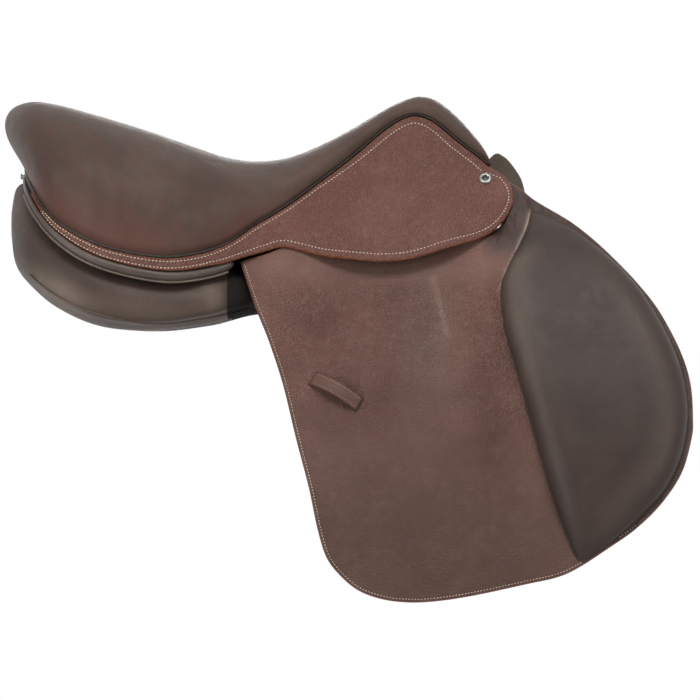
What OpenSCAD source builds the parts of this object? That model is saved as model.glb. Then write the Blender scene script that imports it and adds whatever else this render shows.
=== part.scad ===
// Jumping saddle: a close-contact saddle with padded knee blocks, built as an assembly.
// +X points to the pommel, +Y to the horse's left, +Z up. The origin lies on the mirror plane, below the
// deepest point of the seat, at the height where the panels bear on the horse's back.

/* [Stance] */
// Height of the pommel above the line where the panels bear
pommel_height = 225; // [215:1:235]
// Radius of the horse's side, which flaps and skirts follow
barrel_radius = 840; // [780:5:900]
// Half the distance between the flaps at their feet
flap_foot_half = 215; // [205:1:225]
// Half the distance between the flaps' faces, carried on up to the pommel's seam
flap_head_half = 30; // [26:0.5:34]

/* [Seat] */
// Length from the back of the cantle to the pommel's front edge
seat_length = 462; // [450:1:475]
// Half width of the seat at its widest
seat_half = 160; // [155:1:166]
// Thickness of the seat's leather
seat_leather = 3; // [2:0.1:4]
// Thickness of the seat's foam at the deepest point
seat_foam_depth = 14; // [10:0.5:18]
// Depth of the dish along the seat's middle
seat_dish = 6; // [2:0.5:9]
// How far the seat swells out past its seam at the cantle
seat_swell = 21; // [14:0.5:26]
// Wall of the laminated tree
tree_wall = 8; // [6:0.5:10]
// Radius of the welt sewn round the seat
welt_radius = 2; // [1.5:0.1:2.5]
// Radius of the padded roll below the cantle
roll_radius = 4.6; // [4:0.1:5]

/* [Flaps and skirts] */
// Length of a flap from its rear edge to the front of its knee block
flap_width = 418; // [405:1:430]
// Drop of the flap's foot below the bearing line
flap_drop = 250; // [240:1:258]
// Thickness of a flap
flap_leather = 5; // [4:0.1:6]
// Thickness of a skirt
skirt_leather = 4.4; // [3.5:0.1:5]
// Thickness of a sweat flap
sweat_leather = 4; // [3:0.1:5]
// Crown of a knee block above the flap
block_crown = 24; // [16:0.5:28]
// Slope of the lines along which flap and skirt fold, in degrees
fold_slope = 17.5; // [16:0.5:19]
// Width of a keeper's strap
keeper_width = 15; // [12:0.5:18]
// Length of a keeper between its two slots
keeper_span = 44; // [38:1:50]
// Clear height inside a keeper
keeper_rise = 7; // [6:0.5:9]
// Thickness of a keeper's strap
keeper_leather = 3; // [2:0.1:3.5]

/* [Girthing] */
// Width of a billet
billet_width = 25; // [22:0.5:28]
// Thickness of a billet
billet_leather = 4; // [3:0.1:5]
// Pitch of the billets along the saddle
billet_pitch = 33; // [30:0.5:36]
// Radius of a billet's buckle hole
billet_hole_radius = 2.5; // [2:0.1:3]
// Pitch of a billet's buckle holes
billet_hole_pitch = 25; // [20:0.5:27]
// Number of buckle holes in a billet
billet_holes = 6; // [4:1:6]
// Thickness of a buckle guard
guard_leather = 2.4; // [2:0.1:3]

/* [Panels] */
// How much longer a panel is than the seat
panel_overhang = 27; // [20:1:34]
// Half width across the panels
panel_half = 152; // [147:1:157]

/* [Stirrup bars] */
// Length of a stirrup bar that carries the leather
bar_length = 60; // [54:1:66]
// Width of a stirrup bar
bar_width = 11; // [9:0.5:13]
// Thickness of a stirrup bar
bar_thickness = 4.5; // [4:0.1:5]
// Clear gap behind a stirrup bar for the leather
bar_gap = 8; // [7:0.5:9]
// Thickness of a stirrup bar's base plate
bar_plate = 2.5; // [2:0.1:3]
// Radius of the pin that a bar's catch turns on
catch_pin_radius = 1.5; // [1.2:0.1:1.8]

/* [Studs and dees] */
// Radius of a pommel stud's head
stud_radius = 6; // [5:0.1:7]
// Wire radius of a dee
dee_wire = 1.8; // [1.4:0.1:2.2]
// Inside half width of a dee
dee_half = 6; // [5:0.5:7]

/* [Hidden] */

// Clearance between layers of leather
layer_gap = 0.4;
// Clearance of the pieces laid under the curved seat
seat_gap = 0.8;
// Clearance of the tree under the foam
tree_gap = 2;
// Running clearance round a pin
pin_clearance = 0.05;
// Overrun of every cut
overrun = 2;
// Gap that a fold leaves between its fixed and its moving part
fold_gap = 1.6;
// Facets of the large round faces
barrel_facets = 720;
// Facets of small round faces
small_facets = 48;

seat_brown = "#4a3830";
skirt_brown = "#6b3b33";
flap_brown = "#5f3a31";
block_brown = "#4a3d35";
inner_brown = "#54382f";
welt_brown = "#2f3330";
steel = "#c9c9c4";
web_grey = "#b9b2a2";
foam_cream = "#d9cfae";
wood = "#c49a62";

// Places along the saddle
seat_deepest_share = 0.515;
seat_rear = -seat_deepest_share * seat_length;
flap_lead = 13;
flap_rear = -flap_lead;
flap_foot = -flap_drop;
// Height of a flap from its foot to its neck, which lies at this share of the pommel's height
flap_neck_share = 0.5911;
flap_height = flap_drop + flap_neck_share * pommel_height;
panel_inset = 6;
panel_rear = seat_rear + panel_inset;
panel_length = seat_length + panel_overhang;

// Height of the seam at the pommel
pommel_seam_share = 0.919;
// Middle of the circle that the flaps' outer faces follow, seen along the saddle. It passes through the flaps'
// feet and through the pommel's seam.
barrel_head = [-flap_head_half, pommel_seam_share * pommel_height];
barrel_foot = [-flap_foot_half, flap_foot];
barrel_chord = barrel_head - barrel_foot;
barrel_reach = sqrt(barrel_radius * barrel_radius - barrel_chord * barrel_chord / 4);
barrel_middle = (barrel_head + barrel_foot) / 2 + barrel_reach * unit([barrel_chord[1], -barrel_chord[0]]);
barrel_y = barrel_middle[0];
barrel_z = barrel_middle[1];
barrel_span = 3 * seat_length;

// Radii of the layers, from the skirt inwards
skirt_in = barrel_radius + layer_gap;
skirt_out = skirt_in + skirt_leather;
flap_in = barrel_radius - flap_leather;
guard_out = flap_in - layer_gap;
guard_in = guard_out - guard_leather;
billet_out = guard_in - layer_gap;
billet_in = billet_out - billet_leather;
sweat_out = billet_in - layer_gap;
sweat_in = sweat_out - sweat_leather;
bar_out = barrel_radius - layer_gap;
bar_in = bar_out - bar_thickness;
plate_out = bar_in - bar_gap;
plate_in = plate_out - bar_plate;
point_out = plate_in - layer_gap;
point_in = point_out - tree_wall;

// Curves and blends

function lerp(a, b, t) = a + (b - a) * t;
function unit(v) = v / norm(v);
function clamp(t, low, high) = min(high, max(low, t));
function catmull(a, b, c, d, t) =
    0.5 * (2 * b + (c - a) * t + (2 * a - 5 * b + 4 * c - d) * t * t + (3 * b - a - 3 * c + d) * t * t * t);

// Point at t, from 0 to 1, on a smooth open curve through the points p
function curve_at(p, t) =
    let (spans = len(p) - 1, i = clamp(floor(t * spans), 0, spans - 1))
    catmull(p[max(i - 1, 0)], p[i], p[i + 1], p[min(i + 2, spans)], t * spans - i);
function curve(p, steps) = [for (i = [0 : steps]) curve_at(p, i / steps)];

// Smooth closed curve through the points p, with so many steps between two of them
function loop_curve(p, steps) =
    let (n = len(p))
    [for (i = [0 : n - 1]) for (j = [0 : steps - 1])
        catmull(p[(i + n - 1) % n], p[i], p[(i + 1) % n], p[(i + 2) % n], j / steps)];

// Right side of a cylinder of radius r along the saddle, as y at height z
function side_y(z, r) = barrel_y - sqrt(r * r - (z - barrel_z) * (z - barrel_z));
// Slope of that cylinder at height z, in degrees from upright
function side_tilt(z, r) = asin((z - barrel_z) / r);

// Solids from grids

// Closed solid between two grids of points, each a list of rows of one length. A zipped sheet has the two halves
// of its first row sewn together.
module thick_sheet(outer, inner, zipped = false) {
    rows = len(outer);
    cols = len(outer[0]);
    total = rows * cols;
    last = cols - 1;
    half = last / 2;
    o = function(i, j) i * cols + j;
    n = function(i, j) total + i * cols + j;
    quad = function(a, b, c, d) [[a, c, b], [a, d, c]];
    polyhedron(
        points = concat([for (row = outer) each row], [for (row = inner) each row]),
        faces = [
            for (i = [0 : rows - 2]) for (j = [0 : cols - 2]) each concat(
                quad(o(i, j), o(i + 1, j), o(i + 1, j + 1), o(i, j + 1)),
                quad(n(i, j), n(i, j + 1), n(i + 1, j + 1), n(i + 1, j))),
            for (i = [0 : rows - 2]) each concat(
                quad(o(i, 0), n(i, 0), n(i + 1, 0), o(i + 1, 0)),
                quad(o(i, cols - 1), o(i + 1, cols - 1), n(i + 1, cols - 1), n(i, cols - 1))),
            for (j = [0 : cols - 2]) each
                quad(o(rows - 1, j), n(rows - 1, j), n(rows - 1, j + 1), o(rows - 1, j + 1)),
            if (!zipped) for (j = [0 : cols - 2]) each
                quad(o(0, j), o(0, j + 1), n(0, j + 1), n(0, j)),
            if (zipped) each concat(
                quad(o(0, 0), o(0, last), n(0, last), n(0, 0)),
                [[o(0, half - 1), o(0, half + 1), o(0, half)], [n(0, half - 1), n(0, half), n(0, half + 1)]]),
            if (zipped) for (j = [0 : half - 2]) each concat(
                quad(o(0, j), o(0, j + 1), o(0, last - 1 - j), o(0, last - j)),
                quad(n(0, j), n(0, last - j), n(0, last - 1 - j), n(0, j + 1)))
        ]);
}

// Closed solid through a row of rings of one length, each end closed by a fan
module loft(rings) {
    m = len(rings);
    n = len(rings[0]);
    polyhedron(
        points = [for (r = rings) each r],
        faces = [
            for (i = [0 : m - 2]) for (j = [0 : n - 1]) each [
                [i * n + j, (i + 1) * n + j, (i + 1) * n + (j + 1) % n],
                [i * n + j, (i + 1) * n + (j + 1) % n, i * n + (j + 1) % n]],
            for (j = [1 : n - 2]) [0, j, j + 1],
            for (j = [1 : n - 2]) [(m - 1) * n, (m - 1) * n + j + 1, (m - 1) * n + j]
        ]);
}

// Round tube along the points of a path, with one radius or one for each point
module tube(path, radius, sides) {
    last = len(path) - 1;
    size = function(i) is_list(radius) ? radius[i] : radius;
    loft([
        for (i = [0 : last])
            let (
                along = unit(path[min(i + 1, last)] - path[max(i - 1, 0)]),
                across = unit(cross(along, [0, 0, 1])),
                up = cross(across, along))
            [for (k = [0 : sides - 1])
                path[i] + size(i) * (cos(360 * k / sides) * across - sin(360 * k / sides) * up)]
    ]);
}

// Sheets on the horse's side

// Part of the right-hand shell between two radii whose side view is an outline of [x, z] points
module side_sheet(r_in, r_out, outline) {
    intersection() {
        translate([0, barrel_y, barrel_z]) rotate([0, 90, 0]) difference() {
            cylinder(r = r_out, h = barrel_span, center = true, $fn = barrel_facets);
            cylinder(r = r_in, h = barrel_span + 2 * overrun, center = true, $fn = barrel_facets);
        }
        rotate([90, 0, 0]) linear_extrude(height = barrel_radius) polygon(outline);
    }
}

// Axes at a point of the right-hand side: local X along the saddle, turned by turn degrees, and local Z out of
// the side
module on_side(x, z, r, turn = 0) {
    translate([x, side_y(z, r), z]) rotate([90 - side_tilt(z, r), 0, 0]) rotate([0, 0, turn]) children();
}

// Draws a right-hand piece, or its mirror image on the left
module on(side) {
    if (side == "left") mirror([0, 1, 0]) children();
    else children();
}

// Seat

// Seam of the seat, from the cantle's middle round the right side to the pommel. Each row holds the place along
// the seat, the half width, the height, and how far the seam hugs the horse's side instead of the half width.
seam_shares = [
    [0.035, 0.006, 0.702, 0], [0.045, 0.375, 0.667, 0], [0.065, 0.644, 0.598, 0], [0.094, 0.825, 0.507, 0],
    [0.139, 0.931, 0.429, 0], [0.217, 1.000, 0.353, 0], [0.320, 0.981, 0.312, 0], [0.388, 0.919, 0.321, 0],
    [0.454, 0.819, 0.363, 0], [0.511, 0.719, 0.444, 0.5], [0.578, 0.613, 0.529, 1], [0.645, 0.519, 0.631, 1],
    [0.710, 0.419, 0.736, 1], [0.763, 0.325, 0.831, 1], [0.799, 0.256, 0.888, 1], [0.831, 0.213, 0.919, 1],
    [0.858, 0.213, 0.919, 1], [0.889, 0.256, 0.888, 1], [0.933, 0.350, 0.809, 1], [0.976, 0.425, 0.740, 1],
    [0.998, 0.456, 0.698, 1]
];
// Middle line of the seat at the same stations: place along the seat, height
spine_shares = [
    [0.056, 0.985], [0.058, 0.990], [0.065, 0.994], [0.082, 0.990], [0.113, 0.975], [0.190, 0.930],
    [0.294, 0.862], [0.385, 0.798], [0.457, 0.748], [0.515, 0.730], [0.576, 0.740], [0.645, 0.790],
    [0.710, 0.858], [0.764, 0.922], [0.799, 0.962], [0.833, 0.991], [0.857, 1.000], [0.890, 0.982],
    [0.929, 0.918], [0.959, 0.849], [0.976, 0.804]
];
// Thickness of the foam, the swell over the seam and the dish, from the cantle to the pommel
foam_shares = [0.5, 0.75, 1, 1, 0.8, 0.35, 0.28, 0.28];
swell_shares = [1, 0.75, 0.45, 0.35, 0.25, 0.12, 0.12, 0.12];
dish_shares = [0.8, 1, 0.8, 0.4, 0.1, 0, 0, 0];
// Fullness of the seat's section: below 1 is fuller than an ellipse
section_fullness_share = 0.82;
// How far in front of the cantle's back its layers aim
cantle_reach_share = 0.13;
cantle_end_share = 0.35;
seat_rows = 30;
seat_half_columns = 7;

function seam_at(t) =
    let (s = curve_at(seam_shares, t), z = s[2] * pommel_height)
    [seat_rear + s[0] * seat_length, lerp(-s[1] * seat_half, side_y(z, skirt_out), s[3]), z];
function spine_at(t) =
    let (s = curve_at(spine_shares, t))
    [seat_rear + s[0] * seat_length, 0, s[1] * pommel_height];

// Level direction from the seam into the seat
function inward_at(t) =
    let (a = seam_at(t), reach = cantle_reach_share * seat_length * max(0, 1 - t / cantle_end_share))
    unit([spine_at(t)[0] + reach - a[0], -a[1], 0]);

// Stations between which the seat's section turns from a bow over the tree to the slope of the pommel's front
front_from_share = 0.80;
front_to_share = 0.95;
// How far the swell sits towards the seam
swell_lean_share = 0.8;

// Point of the right half of the seat: t runs from cantle to pommel, v from seam to middle, depth into the seat
function seat_point(t, v, depth) =
    let (
        a = seam_at(t), b = spine_at(t), turn = 90 * v, into = inward_at(t),
        level = 1 - pow(cos(turn), section_fullness_share),
        rise = pow(sin(turn), section_fullness_share),
        front = clamp((t - front_from_share) / (front_to_share - front_from_share), 0, 1),
        swell = seat_swell * curve_at(swell_shares, t) * sin(180 * pow(v, swell_lean_share)),
        dish = seat_dish * curve_at(dish_shares, t) * pow(v, 4))
    [lerp(a[0], b[0], lerp(level, rise, front)), lerp(a[1], 0, level), lerp(a[2], b[2], rise) - dish]
        - swell * into
        + depth * (cos(turn) * into - [0, 0, sin(turn)]);
function mirrored(p) = [p[0], -p[1], p[2]];
function foam_at(t) = seat_foam_depth * curve_at(foam_shares, t);

// Row of points across the whole seat at station t, at a depth into it, between two shares of the half width
function across(t, depth, from) =
    let (right = [for (j = [0 : seat_half_columns]) seat_point(t, lerp(from, 1, j / seat_half_columns), depth)])
    concat(
        [for (j = [0 : seat_half_columns - 1]) right[j]],
        [[right[seat_half_columns][0], 0, right[seat_half_columns][2]]],
        [for (j = [seat_half_columns - 1 : -1 : 0]) mirrored(right[j])]);

// Depths of the layers at station t
function foam_top(t) = seat_leather + seat_gap;
function tree_top(t) = foam_top(t) + foam_at(t) + tree_gap;
function tree_bottom(t) = tree_top(t) + tree_wall;
web_leather = 2;
gullet_steel = 3;

// Layer of the whole seat between two stations, with its rows closer together at the cantle. A layer that starts
// at the cantle's middle is sewn together there.
row_crowding = 1.4;
module seat_layer(from_t, to_t, rows, top, bottom, from_v = 0) {
    stations = [for (i = [0 : rows]) lerp(from_t, to_t, pow(i / rows, from_t == 0 ? row_crowding : 1))];
    thick_sheet([for (t = stations) across(t, top(t), from_v)], [for (t = stations) across(t, bottom(t), from_v)],
        from_t == 0);
}

module seat_cover() {
    color(seat_brown) seat_layer(0, 1, seat_rows, function(t) 0, function(t) seat_leather);
}

module seat_foam() {
    color(foam_cream)
        seat_layer(0, 1, seat_rows, function(t) foam_top(t), function(t) foam_top(t) + foam_at(t));
}

// Tree

// Stations where the cantle and the head of the tree end and the rails run
cantle_share = 0.235;
head_share = 0.72;
head_end_share = 0.97;
// Rails run between these shares of the half width
rail_inner_share = 0.62;
rail_outer_share = 0.05;
tree_rows = 7;
rail_columns = 5;
station_gap_share = 0.004;

module tree_cantle() {
    color(wood) seat_layer(0, cantle_share, 2 * tree_rows, function(t) tree_top(t),
        function(t) tree_bottom(t), rail_outer_share);
}

module tree_head() {
    color(wood) seat_layer(head_share, head_end_share, 2 * tree_rows, function(t) tree_top(t),
        function(t) tree_bottom(t), rail_outer_share);
}

// Part of the right half of a seat layer, between two stations and two shares of the half width
module half_layer(from_t, to_t, rows, from_v, to_v, columns, top, bottom) {
    grid = function(depth) [
        for (i = [0 : rows]) [
            for (j = [0 : columns])
                let (t = lerp(from_t, to_t, i / rows))
                seat_point(t, lerp(from_v, to_v, j / columns), depth(t))]];
    thick_sheet(grid(top), grid(bottom));
}

module tree_rail() {
    color(wood) half_layer(cantle_share + station_gap_share, head_share - station_gap_share, 2 * tree_rows,
        rail_outer_share, rail_inner_share, rail_columns, function(t) tree_top(t), function(t) tree_bottom(t));
}

// Steel strips under both rails, which let the tree flex
spring_from_share = 0.28;
spring_to_share = 0.70;
spring_outer_share = 0.30;
spring_inner_share = 0.46;
module tree_springs() {
    color(steel) for (side = ["right", "left"]) on(side)
        half_layer(spring_from_share, spring_to_share, 2 * tree_rows, spring_outer_share, spring_inner_share, 2,
            function(t) tree_bottom(t) + seat_gap, function(t) tree_bottom(t) + seat_gap + web_leather);
}

// Steel arch under the head of the tree
plate_edge_share = 0.12;
plate_from_share = 0.80;
plate_to_share = 0.935;
module gullet_plate() {
    color(steel) seat_layer(plate_from_share, plate_to_share, tree_rows, function(t) tree_bottom(t) + seat_gap,
        function(t) tree_bottom(t) + seat_gap + gullet_steel, plate_edge_share);
}

// Webs that carry the foam between the rails: two along the seat and one across it
web_middle_share = 0.80;
web_seam_share = 0.003;
web_edge_share = 0.65;
cross_from_share = 0.40;
cross_to_share = 0.52;
cross_end_share = 0.985;
module seat_webs() {
    top = function(t) tree_top(t);
    bottom = function(t) tree_top(t) + web_leather;
    color(web_grey) for (side = ["right", "left"]) on(side)
        half_layer(cantle_share + 2 * station_gap_share, head_share - 2 * station_gap_share, 2 * tree_rows,
            web_edge_share, web_middle_share, 2, top, bottom);
    color(web_grey) for (side = ["right", "left"]) on(side)
        half_layer(cross_from_share, cross_to_share, 4, web_middle_share + web_seam_share, cross_end_share, 2,
            top, bottom);
}

// Seams, welts and the roll

function seam_view(t) = let (p = seam_at(t)) [p[0], p[2]];
// Downward direction square to the seam, seen from the side, and straight down at the cantle's middle
down_share = 0.1;
function seam_down(t) =
    let (step = station_gap_share, d = unit(seam_view(min(1, t + step)) - seam_view(max(0, t - step))))
    unit(lerp([0, -1], [d[1], -d[0]], clamp(t / down_share, 0, 1)));
// Point below the seam by a drop along the saddle's side, as [x, z]
function below_seam(t, drop) = seam_view(t) + drop * seam_down(t);
// The same point in space, standing out from the seam by out
function seam_point(t, drop, out) =
    let (p = below_seam(t, drop), a = seam_at(t), hug = curve_at(seam_shares, t)[3], into = inward_at(t))
    [p[0] - out * into[0] * (1 - hug),
     lerp(a[1] - out * into[1], side_y(p[1], skirt_in + out), hug), p[1]];

welt_drop = welt_radius + seat_gap;
skirt_top_drop = welt_drop + welt_radius + seat_gap;
welt_from_share = 0.012;
welt_to_share = 0.985;
welt_rings = 26;
welt_sides = 8;
module seat_welt() {
    stations = [for (i = [0 : welt_rings]) lerp(welt_from_share, welt_to_share, i / welt_rings)];
    color(welt_brown) for (side = ["right", "left"]) on(side)
        tube([for (t = stations) seam_point(t, welt_drop, 0)], welt_radius, welt_sides);
}

// Drop of the roll's middle below the seam, from the cantle's middle forwards, and the roll's thickness
roll_drop_shares = [0.43, 0.43, 0.49, 0.80, 0.97, 1.05];
roll_radius_shares = [0.5, 0.5, 0.55, 0.8, 0.95, 1];
roll_drop = 19;
roll_end_share = 0.385;
roll_start_share = 0.02;
roll_rings = 14;
roll_sides = 10;
function roll_drop_at(t) = roll_drop * curve_at(roll_drop_shares, min(1, t / roll_end_share));
function roll_radius_at(t) = roll_radius * curve_at(roll_radius_shares, min(1, t / roll_end_share));
function roll_point(t) = seam_point(t, roll_drop_at(t), -roll_radius_at(t) / 2);
module cantle_roll() {
    stations = [for (i = [0 : roll_rings]) roll_end_share * lerp(roll_start_share, 1, i / roll_rings)];
    forward = [for (t = stations) roll_point(t)];
    thick = [for (t = stations) roll_radius_at(t)];
    right = [for (i = [roll_rings : -1 : 0]) forward[i]];
    left = [for (p = forward) mirrored(p)];
    color(block_brown) tube(concat(right, left), concat([for (i = [roll_rings : -1 : 0]) thick[i]], thick),
        roll_sides);
}

// Strip of the skirt that runs back round the cantle, above the roll
tail_from_share = 0.18;
tail_to_share = 0.42;
tail_rows = 14;
tail_least = 1;
function tail_foot(t) = roll_drop_at(t) - roll_radius_at(t) - seat_gap;
module skirt_tail() {
    rows = [for (i = [0 : tail_rows]) lerp(tail_from_share, tail_to_share, i / tail_rows)];
    foot = function(t) max(tail_foot(t), skirt_top_drop + tail_least);
    place = function(t, w, out) seam_point(t, lerp(skirt_top_drop, foot(t), w), out);
    grid = function(out) [for (t = rows) [for (w = [0, 0.5, 1]) place(t, w, out)]];
    color(skirt_brown) thick_sheet(grid(-skirt_leather), grid(0));
}

// Point of the tree: the leg of its head that reaches down behind the skirt, with a thick root under the head
point_width = 56;
point_length = 70;
point_round = 12;
point_top_drop = 8;
point_setback = 3;
root_cover = 6;
root_drop = 2;
root_height = 20;
root_from_share = 0.905;
root_to_share = 0.945;
root_steps = 6;
module tree_point() {
    root = seam_view(root_to_share);
    high = root[1] - point_top_drop;
    low = high - point_length;
    front = root[0] - point_setback;
    rear = front - point_width;
    top = [for (i = [0 : root_steps])
        below_seam(lerp(root_to_share, root_from_share, i / root_steps), root_drop)];
    color(wood) union() {
        side_sheet(point_in, point_out, concat(
            [for (a = [180 : 15 : 270]) [rear + point_round * (1 + cos(a)), low + point_round * (1 + sin(a))]],
            [for (a = [270 : 15 : 360]) [front - point_round * (1 - cos(a)), low + point_round * (1 + sin(a))]],
            [[front, high - point_round], [rear + point_round, high]]));
        side_sheet(point_in, barrel_radius - root_cover, concat(
            [[top[root_steps][0], high - root_height], [top[0][0], high - root_height]], top));
    }
}

// Skirts

// Free edge of the skirt from its rear end, below the seam, to the pommel's front: place along the flap's width
// and height above the flap's foot
skirt_edge_shares = [
    [0.020, 0.832], [0.062, 0.851], [0.096, 0.860], [0.138, 0.850], [0.196, 0.830], [0.266, 0.814],
    [0.322, 0.809], [0.388, 0.817], [0.460, 0.842], [0.540, 0.880], [0.586, 0.918], [0.612, 0.964],
    [0.613, 1.003], [0.594, 1.040]
];
skirt_top_steps = 22;
skirt_edge_steps = 30;
function flap_place(share) = [flap_rear + share[0] * flap_width, flap_foot + share[1] * flap_height];
skirt_rear_station = tail_to_share + station_gap_share;
skirt_front_station = 0.985;
skirt_outline = concat(
    [for (i = [0 : skirt_top_steps])
        below_seam(lerp(skirt_front_station, skirt_rear_station, i / skirt_top_steps), skirt_top_drop)],
    [for (p = curve([for (s = skirt_edge_shares) flap_place(s)], skirt_edge_steps)) p]);

// Line along which a skirt folds, and the one along which a flap folds, through these places of the flap
skirt_fold_shares = [0.33, 0.948];
flap_fold_shares = [0.36, 0.795];

// Half-space on one side of a fold: below its line for the moving leaf, above it for the fixed part. What stands
// proud of the leather is cut back by a lean, so that the leaf can rise.
module fold_side(shares, r, leaf, lean = 0) {
    place = flap_place(shares);
    size = 2 * barrel_span;
    on_side(place[0], place[1], r, fold_slope)
        rotate([lean, 0, 0])
            translate([-size / 2, leaf ? -size - fold_gap / 2 : fold_gap / 2, -size / 2]) cube(size);
}

module skirt_sheet() {
    side_sheet(skirt_in, skirt_out, skirt_outline);
}

module skirt(leaf) {
    color(skirt_brown) intersection() {
        skirt_sheet();
        fold_side(skirt_fold_shares, skirt_out, leaf);
    }
}

// Flaps

// Outline of the flap, from its rear top corner down, round the foot and up its front to the neck
flap_edge_shares = [
    [0.000, 0.825], [0.033, 0.718], [0.071, 0.633], [0.102, 0.524], [0.128, 0.393], [0.155, 0.277],
    [0.175, 0.175], [0.195, 0.107], [0.228, 0.061], [0.268, 0.027], [0.321, 0.007], [0.383, 0.000],
    [0.451, 0.005], [0.529, 0.019], [0.635, 0.044], [0.701, 0.061], [0.748, 0.085], [0.812, 0.131],
    [0.872, 0.177], [0.929, 0.238], [0.973, 0.311], [0.996, 0.393], [1.000, 0.442], [0.996, 0.527],
    [0.973, 0.609], [0.929, 0.704], [0.885, 0.767], [0.841, 0.818], [0.783, 0.876], [0.723, 0.925],
    [0.653, 0.976], [0.628, 1.007], [0.590, 1.032]
];
// Top of the flap, hidden under the skirt, back to the rear corner
flap_top_shares = [[0.50, 1.030], [0.36, 1.000], [0.16, 0.890], [0.06, 0.845]];
flap_edge_steps = 64;
flap_outline = concat(
    curve([for (s = flap_edge_shares) flap_place(s)], flap_edge_steps),
    [for (s = flap_top_shares) flap_place(s)]);

// Window in the flap behind which the stirrup bar lies
bar_place_shares = [0.430, 0.946];
window_margin = 7;
window_height = 34;
bar_foot_length = 12;
module bar_window(r) {
    place = flap_place(bar_place_shares);
    length = bar_length + 2 * bar_foot_length + 2 * window_margin;
    on_side(place[0], place[1], r)
        cube([length, window_height, 4 * window_height], center = true);
}

// Strap of the keeper: part of a ring that dips through two slots of the flap
keeper_place_shares = [0.216, 0.505];
keeper_turn = -31;
keeper_ring = keeper_span * keeper_span / (8 * keeper_rise) + keeper_rise / 2;
keeper_tail = 3;
module keeper_strap(slack) {
    place = flap_place(keeper_place_shares);
    on_side(place[0], place[1], barrel_radius, keeper_turn) intersection() {
        translate([0, 0, keeper_rise - keeper_ring]) rotate([90, 0, 0]) difference() {
            cylinder(r = keeper_ring + keeper_leather + slack, h = keeper_width + 2 * slack, center = true,
                $fn = 4 * small_facets);
            cylinder(r = keeper_ring - slack, h = keeper_width + 4 * slack + overrun, center = true,
                $fn = 4 * small_facets);
        }
        translate([0, 0, keeper_ring - flap_leather - keeper_tail - slack])
            cube([4 * keeper_span, 2 * keeper_width, 2 * keeper_ring], center = true);
    }
}
module keeper() {
    color(flap_brown) keeper_strap(0);
}

module flap_sheet() {
    side_sheet(flap_in, barrel_radius, flap_outline);
}

module flap(leaf) {
    color(flap_brown) difference() {
        intersection() {
            flap_sheet();
            fold_side(flap_fold_shares, barrel_radius, leaf);
        }
        if (leaf) keeper_strap(layer_gap);
        else {
            bar_window(barrel_radius);
            dee_window();
        }
    }
}

// Knee block: a stuffed pad on the front of the flap. Its rear and front edges run from top to foot, as places of
// the flap at the same heights.
block_rows_shares = [0.945, 0.93, 0.90, 0.85, 0.80, 0.75, 0.66, 0.56, 0.46, 0.36, 0.27, 0.20, 0.15, 0.115, 0.10];
block_rear_shares = [
    0.655, 0.652, 0.644, 0.622, 0.598, 0.584, 0.592, 0.616, 0.640, 0.664, 0.688, 0.710, 0.728, 0.742, 0.752];
block_front_shares = [
    0.672, 0.692, 0.735, 0.793, 0.842, 0.882, 0.932, 0.972, 0.987, 0.974, 0.936, 0.876, 0.826, 0.784, 0.764];
// Crown of each row, and how full a row's section is
block_crown_shares = [0.10, 0.24, 0.42, 0.62, 0.78, 0.90, 1.0, 1.0, 1.0, 0.96, 0.88, 0.74, 0.56, 0.34, 0.16];
block_columns = 10;
block_fullness_share = 0.42;
module block_pad() {
    rings = [
        for (i = [0 : len(block_rows_shares) - 1])
            let (
                z = flap_foot + block_rows_shares[i] * flap_height,
                rear = flap_rear + block_rear_shares[i] * flap_width,
                front = flap_rear + block_front_shares[i] * flap_width,
                base = barrel_radius + layer_gap,
                height = block_crown * block_crown_shares[i])
            concat(
                [for (j = [block_columns - 1 : -1 : 1])
                    let (c = (1 - cos(180 * j / block_columns)) / 2,
                        lift = height * pow(4 * c * (1 - c), block_fullness_share))
                    [lerp(rear, front, c), side_y(z, base + lift), z]],
                [for (j = [0 : block_columns])
                    let (c = (1 - cos(180 * j / block_columns)) / 2)
                    [lerp(rear, front, c), side_y(z, base), z]])
    ];
    loft(rings);
}
// The pad crosses the flap's fold: its tip stays on the flap's head, the rest rises with the flap
block_leaf_lean = 36;
block_tip_lean = -16;
module knee_block(leaf) {
    color(block_brown) intersection() {
        block_pad();
        fold_side(flap_fold_shares, barrel_radius, leaf, leaf ? block_leaf_lean : block_tip_lean);
    }
}

// Under the flaps

sweat_edge_shares = [
    [0.110, 0.880], [0.150, 0.70], [0.190, 0.50], [0.225, 0.30], [0.265, 0.190], [0.330, 0.145], [0.430, 0.135],
    [0.560, 0.165], [0.660, 0.220], [0.730, 0.330], [0.760, 0.480], [0.740, 0.640], [0.680, 0.780], [0.610, 0.870]
];
sweat_edge_steps = 32;
module sweat_flap() {
    color(inner_brown) side_sheet(sweat_in, sweat_out,
        curve([for (s = sweat_edge_shares) flap_place(s)], sweat_edge_steps));
}

// Three billets hang from webs on each side
billet_middle_share = 0.40;
billet_drop = 190;
billet_foot = -billet_drop;
billet_tip = 14;
web_top_share = 0.877;
web_top = flap_foot + web_top_share * flap_height;
function billet_x(i) = flap_rear + billet_middle_share * flap_width + (i - 1) * billet_pitch;

module billet(i) {
    x = billet_x(i);
    half = billet_width / 2;
    color(inner_brown) difference() {
        intersection() {
            side_sheet(billet_in, billet_out, [
                [x - half, web_top], [x + half, web_top], [x + half, billet_foot + billet_tip],
                [x + half / 3, billet_foot], [x - half / 3, billet_foot], [x - half, billet_foot + billet_tip]]);
            fold_side(flap_fold_shares, barrel_radius, true);
        }
        for (k = [0 : billet_holes - 1])
            on_side(x, billet_foot + billet_tip + (k + 1) * billet_hole_pitch, billet_in)
                cylinder(r = billet_hole_radius, h = 6 * billet_leather, center = true, $fn = small_facets);
    }
}

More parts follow.
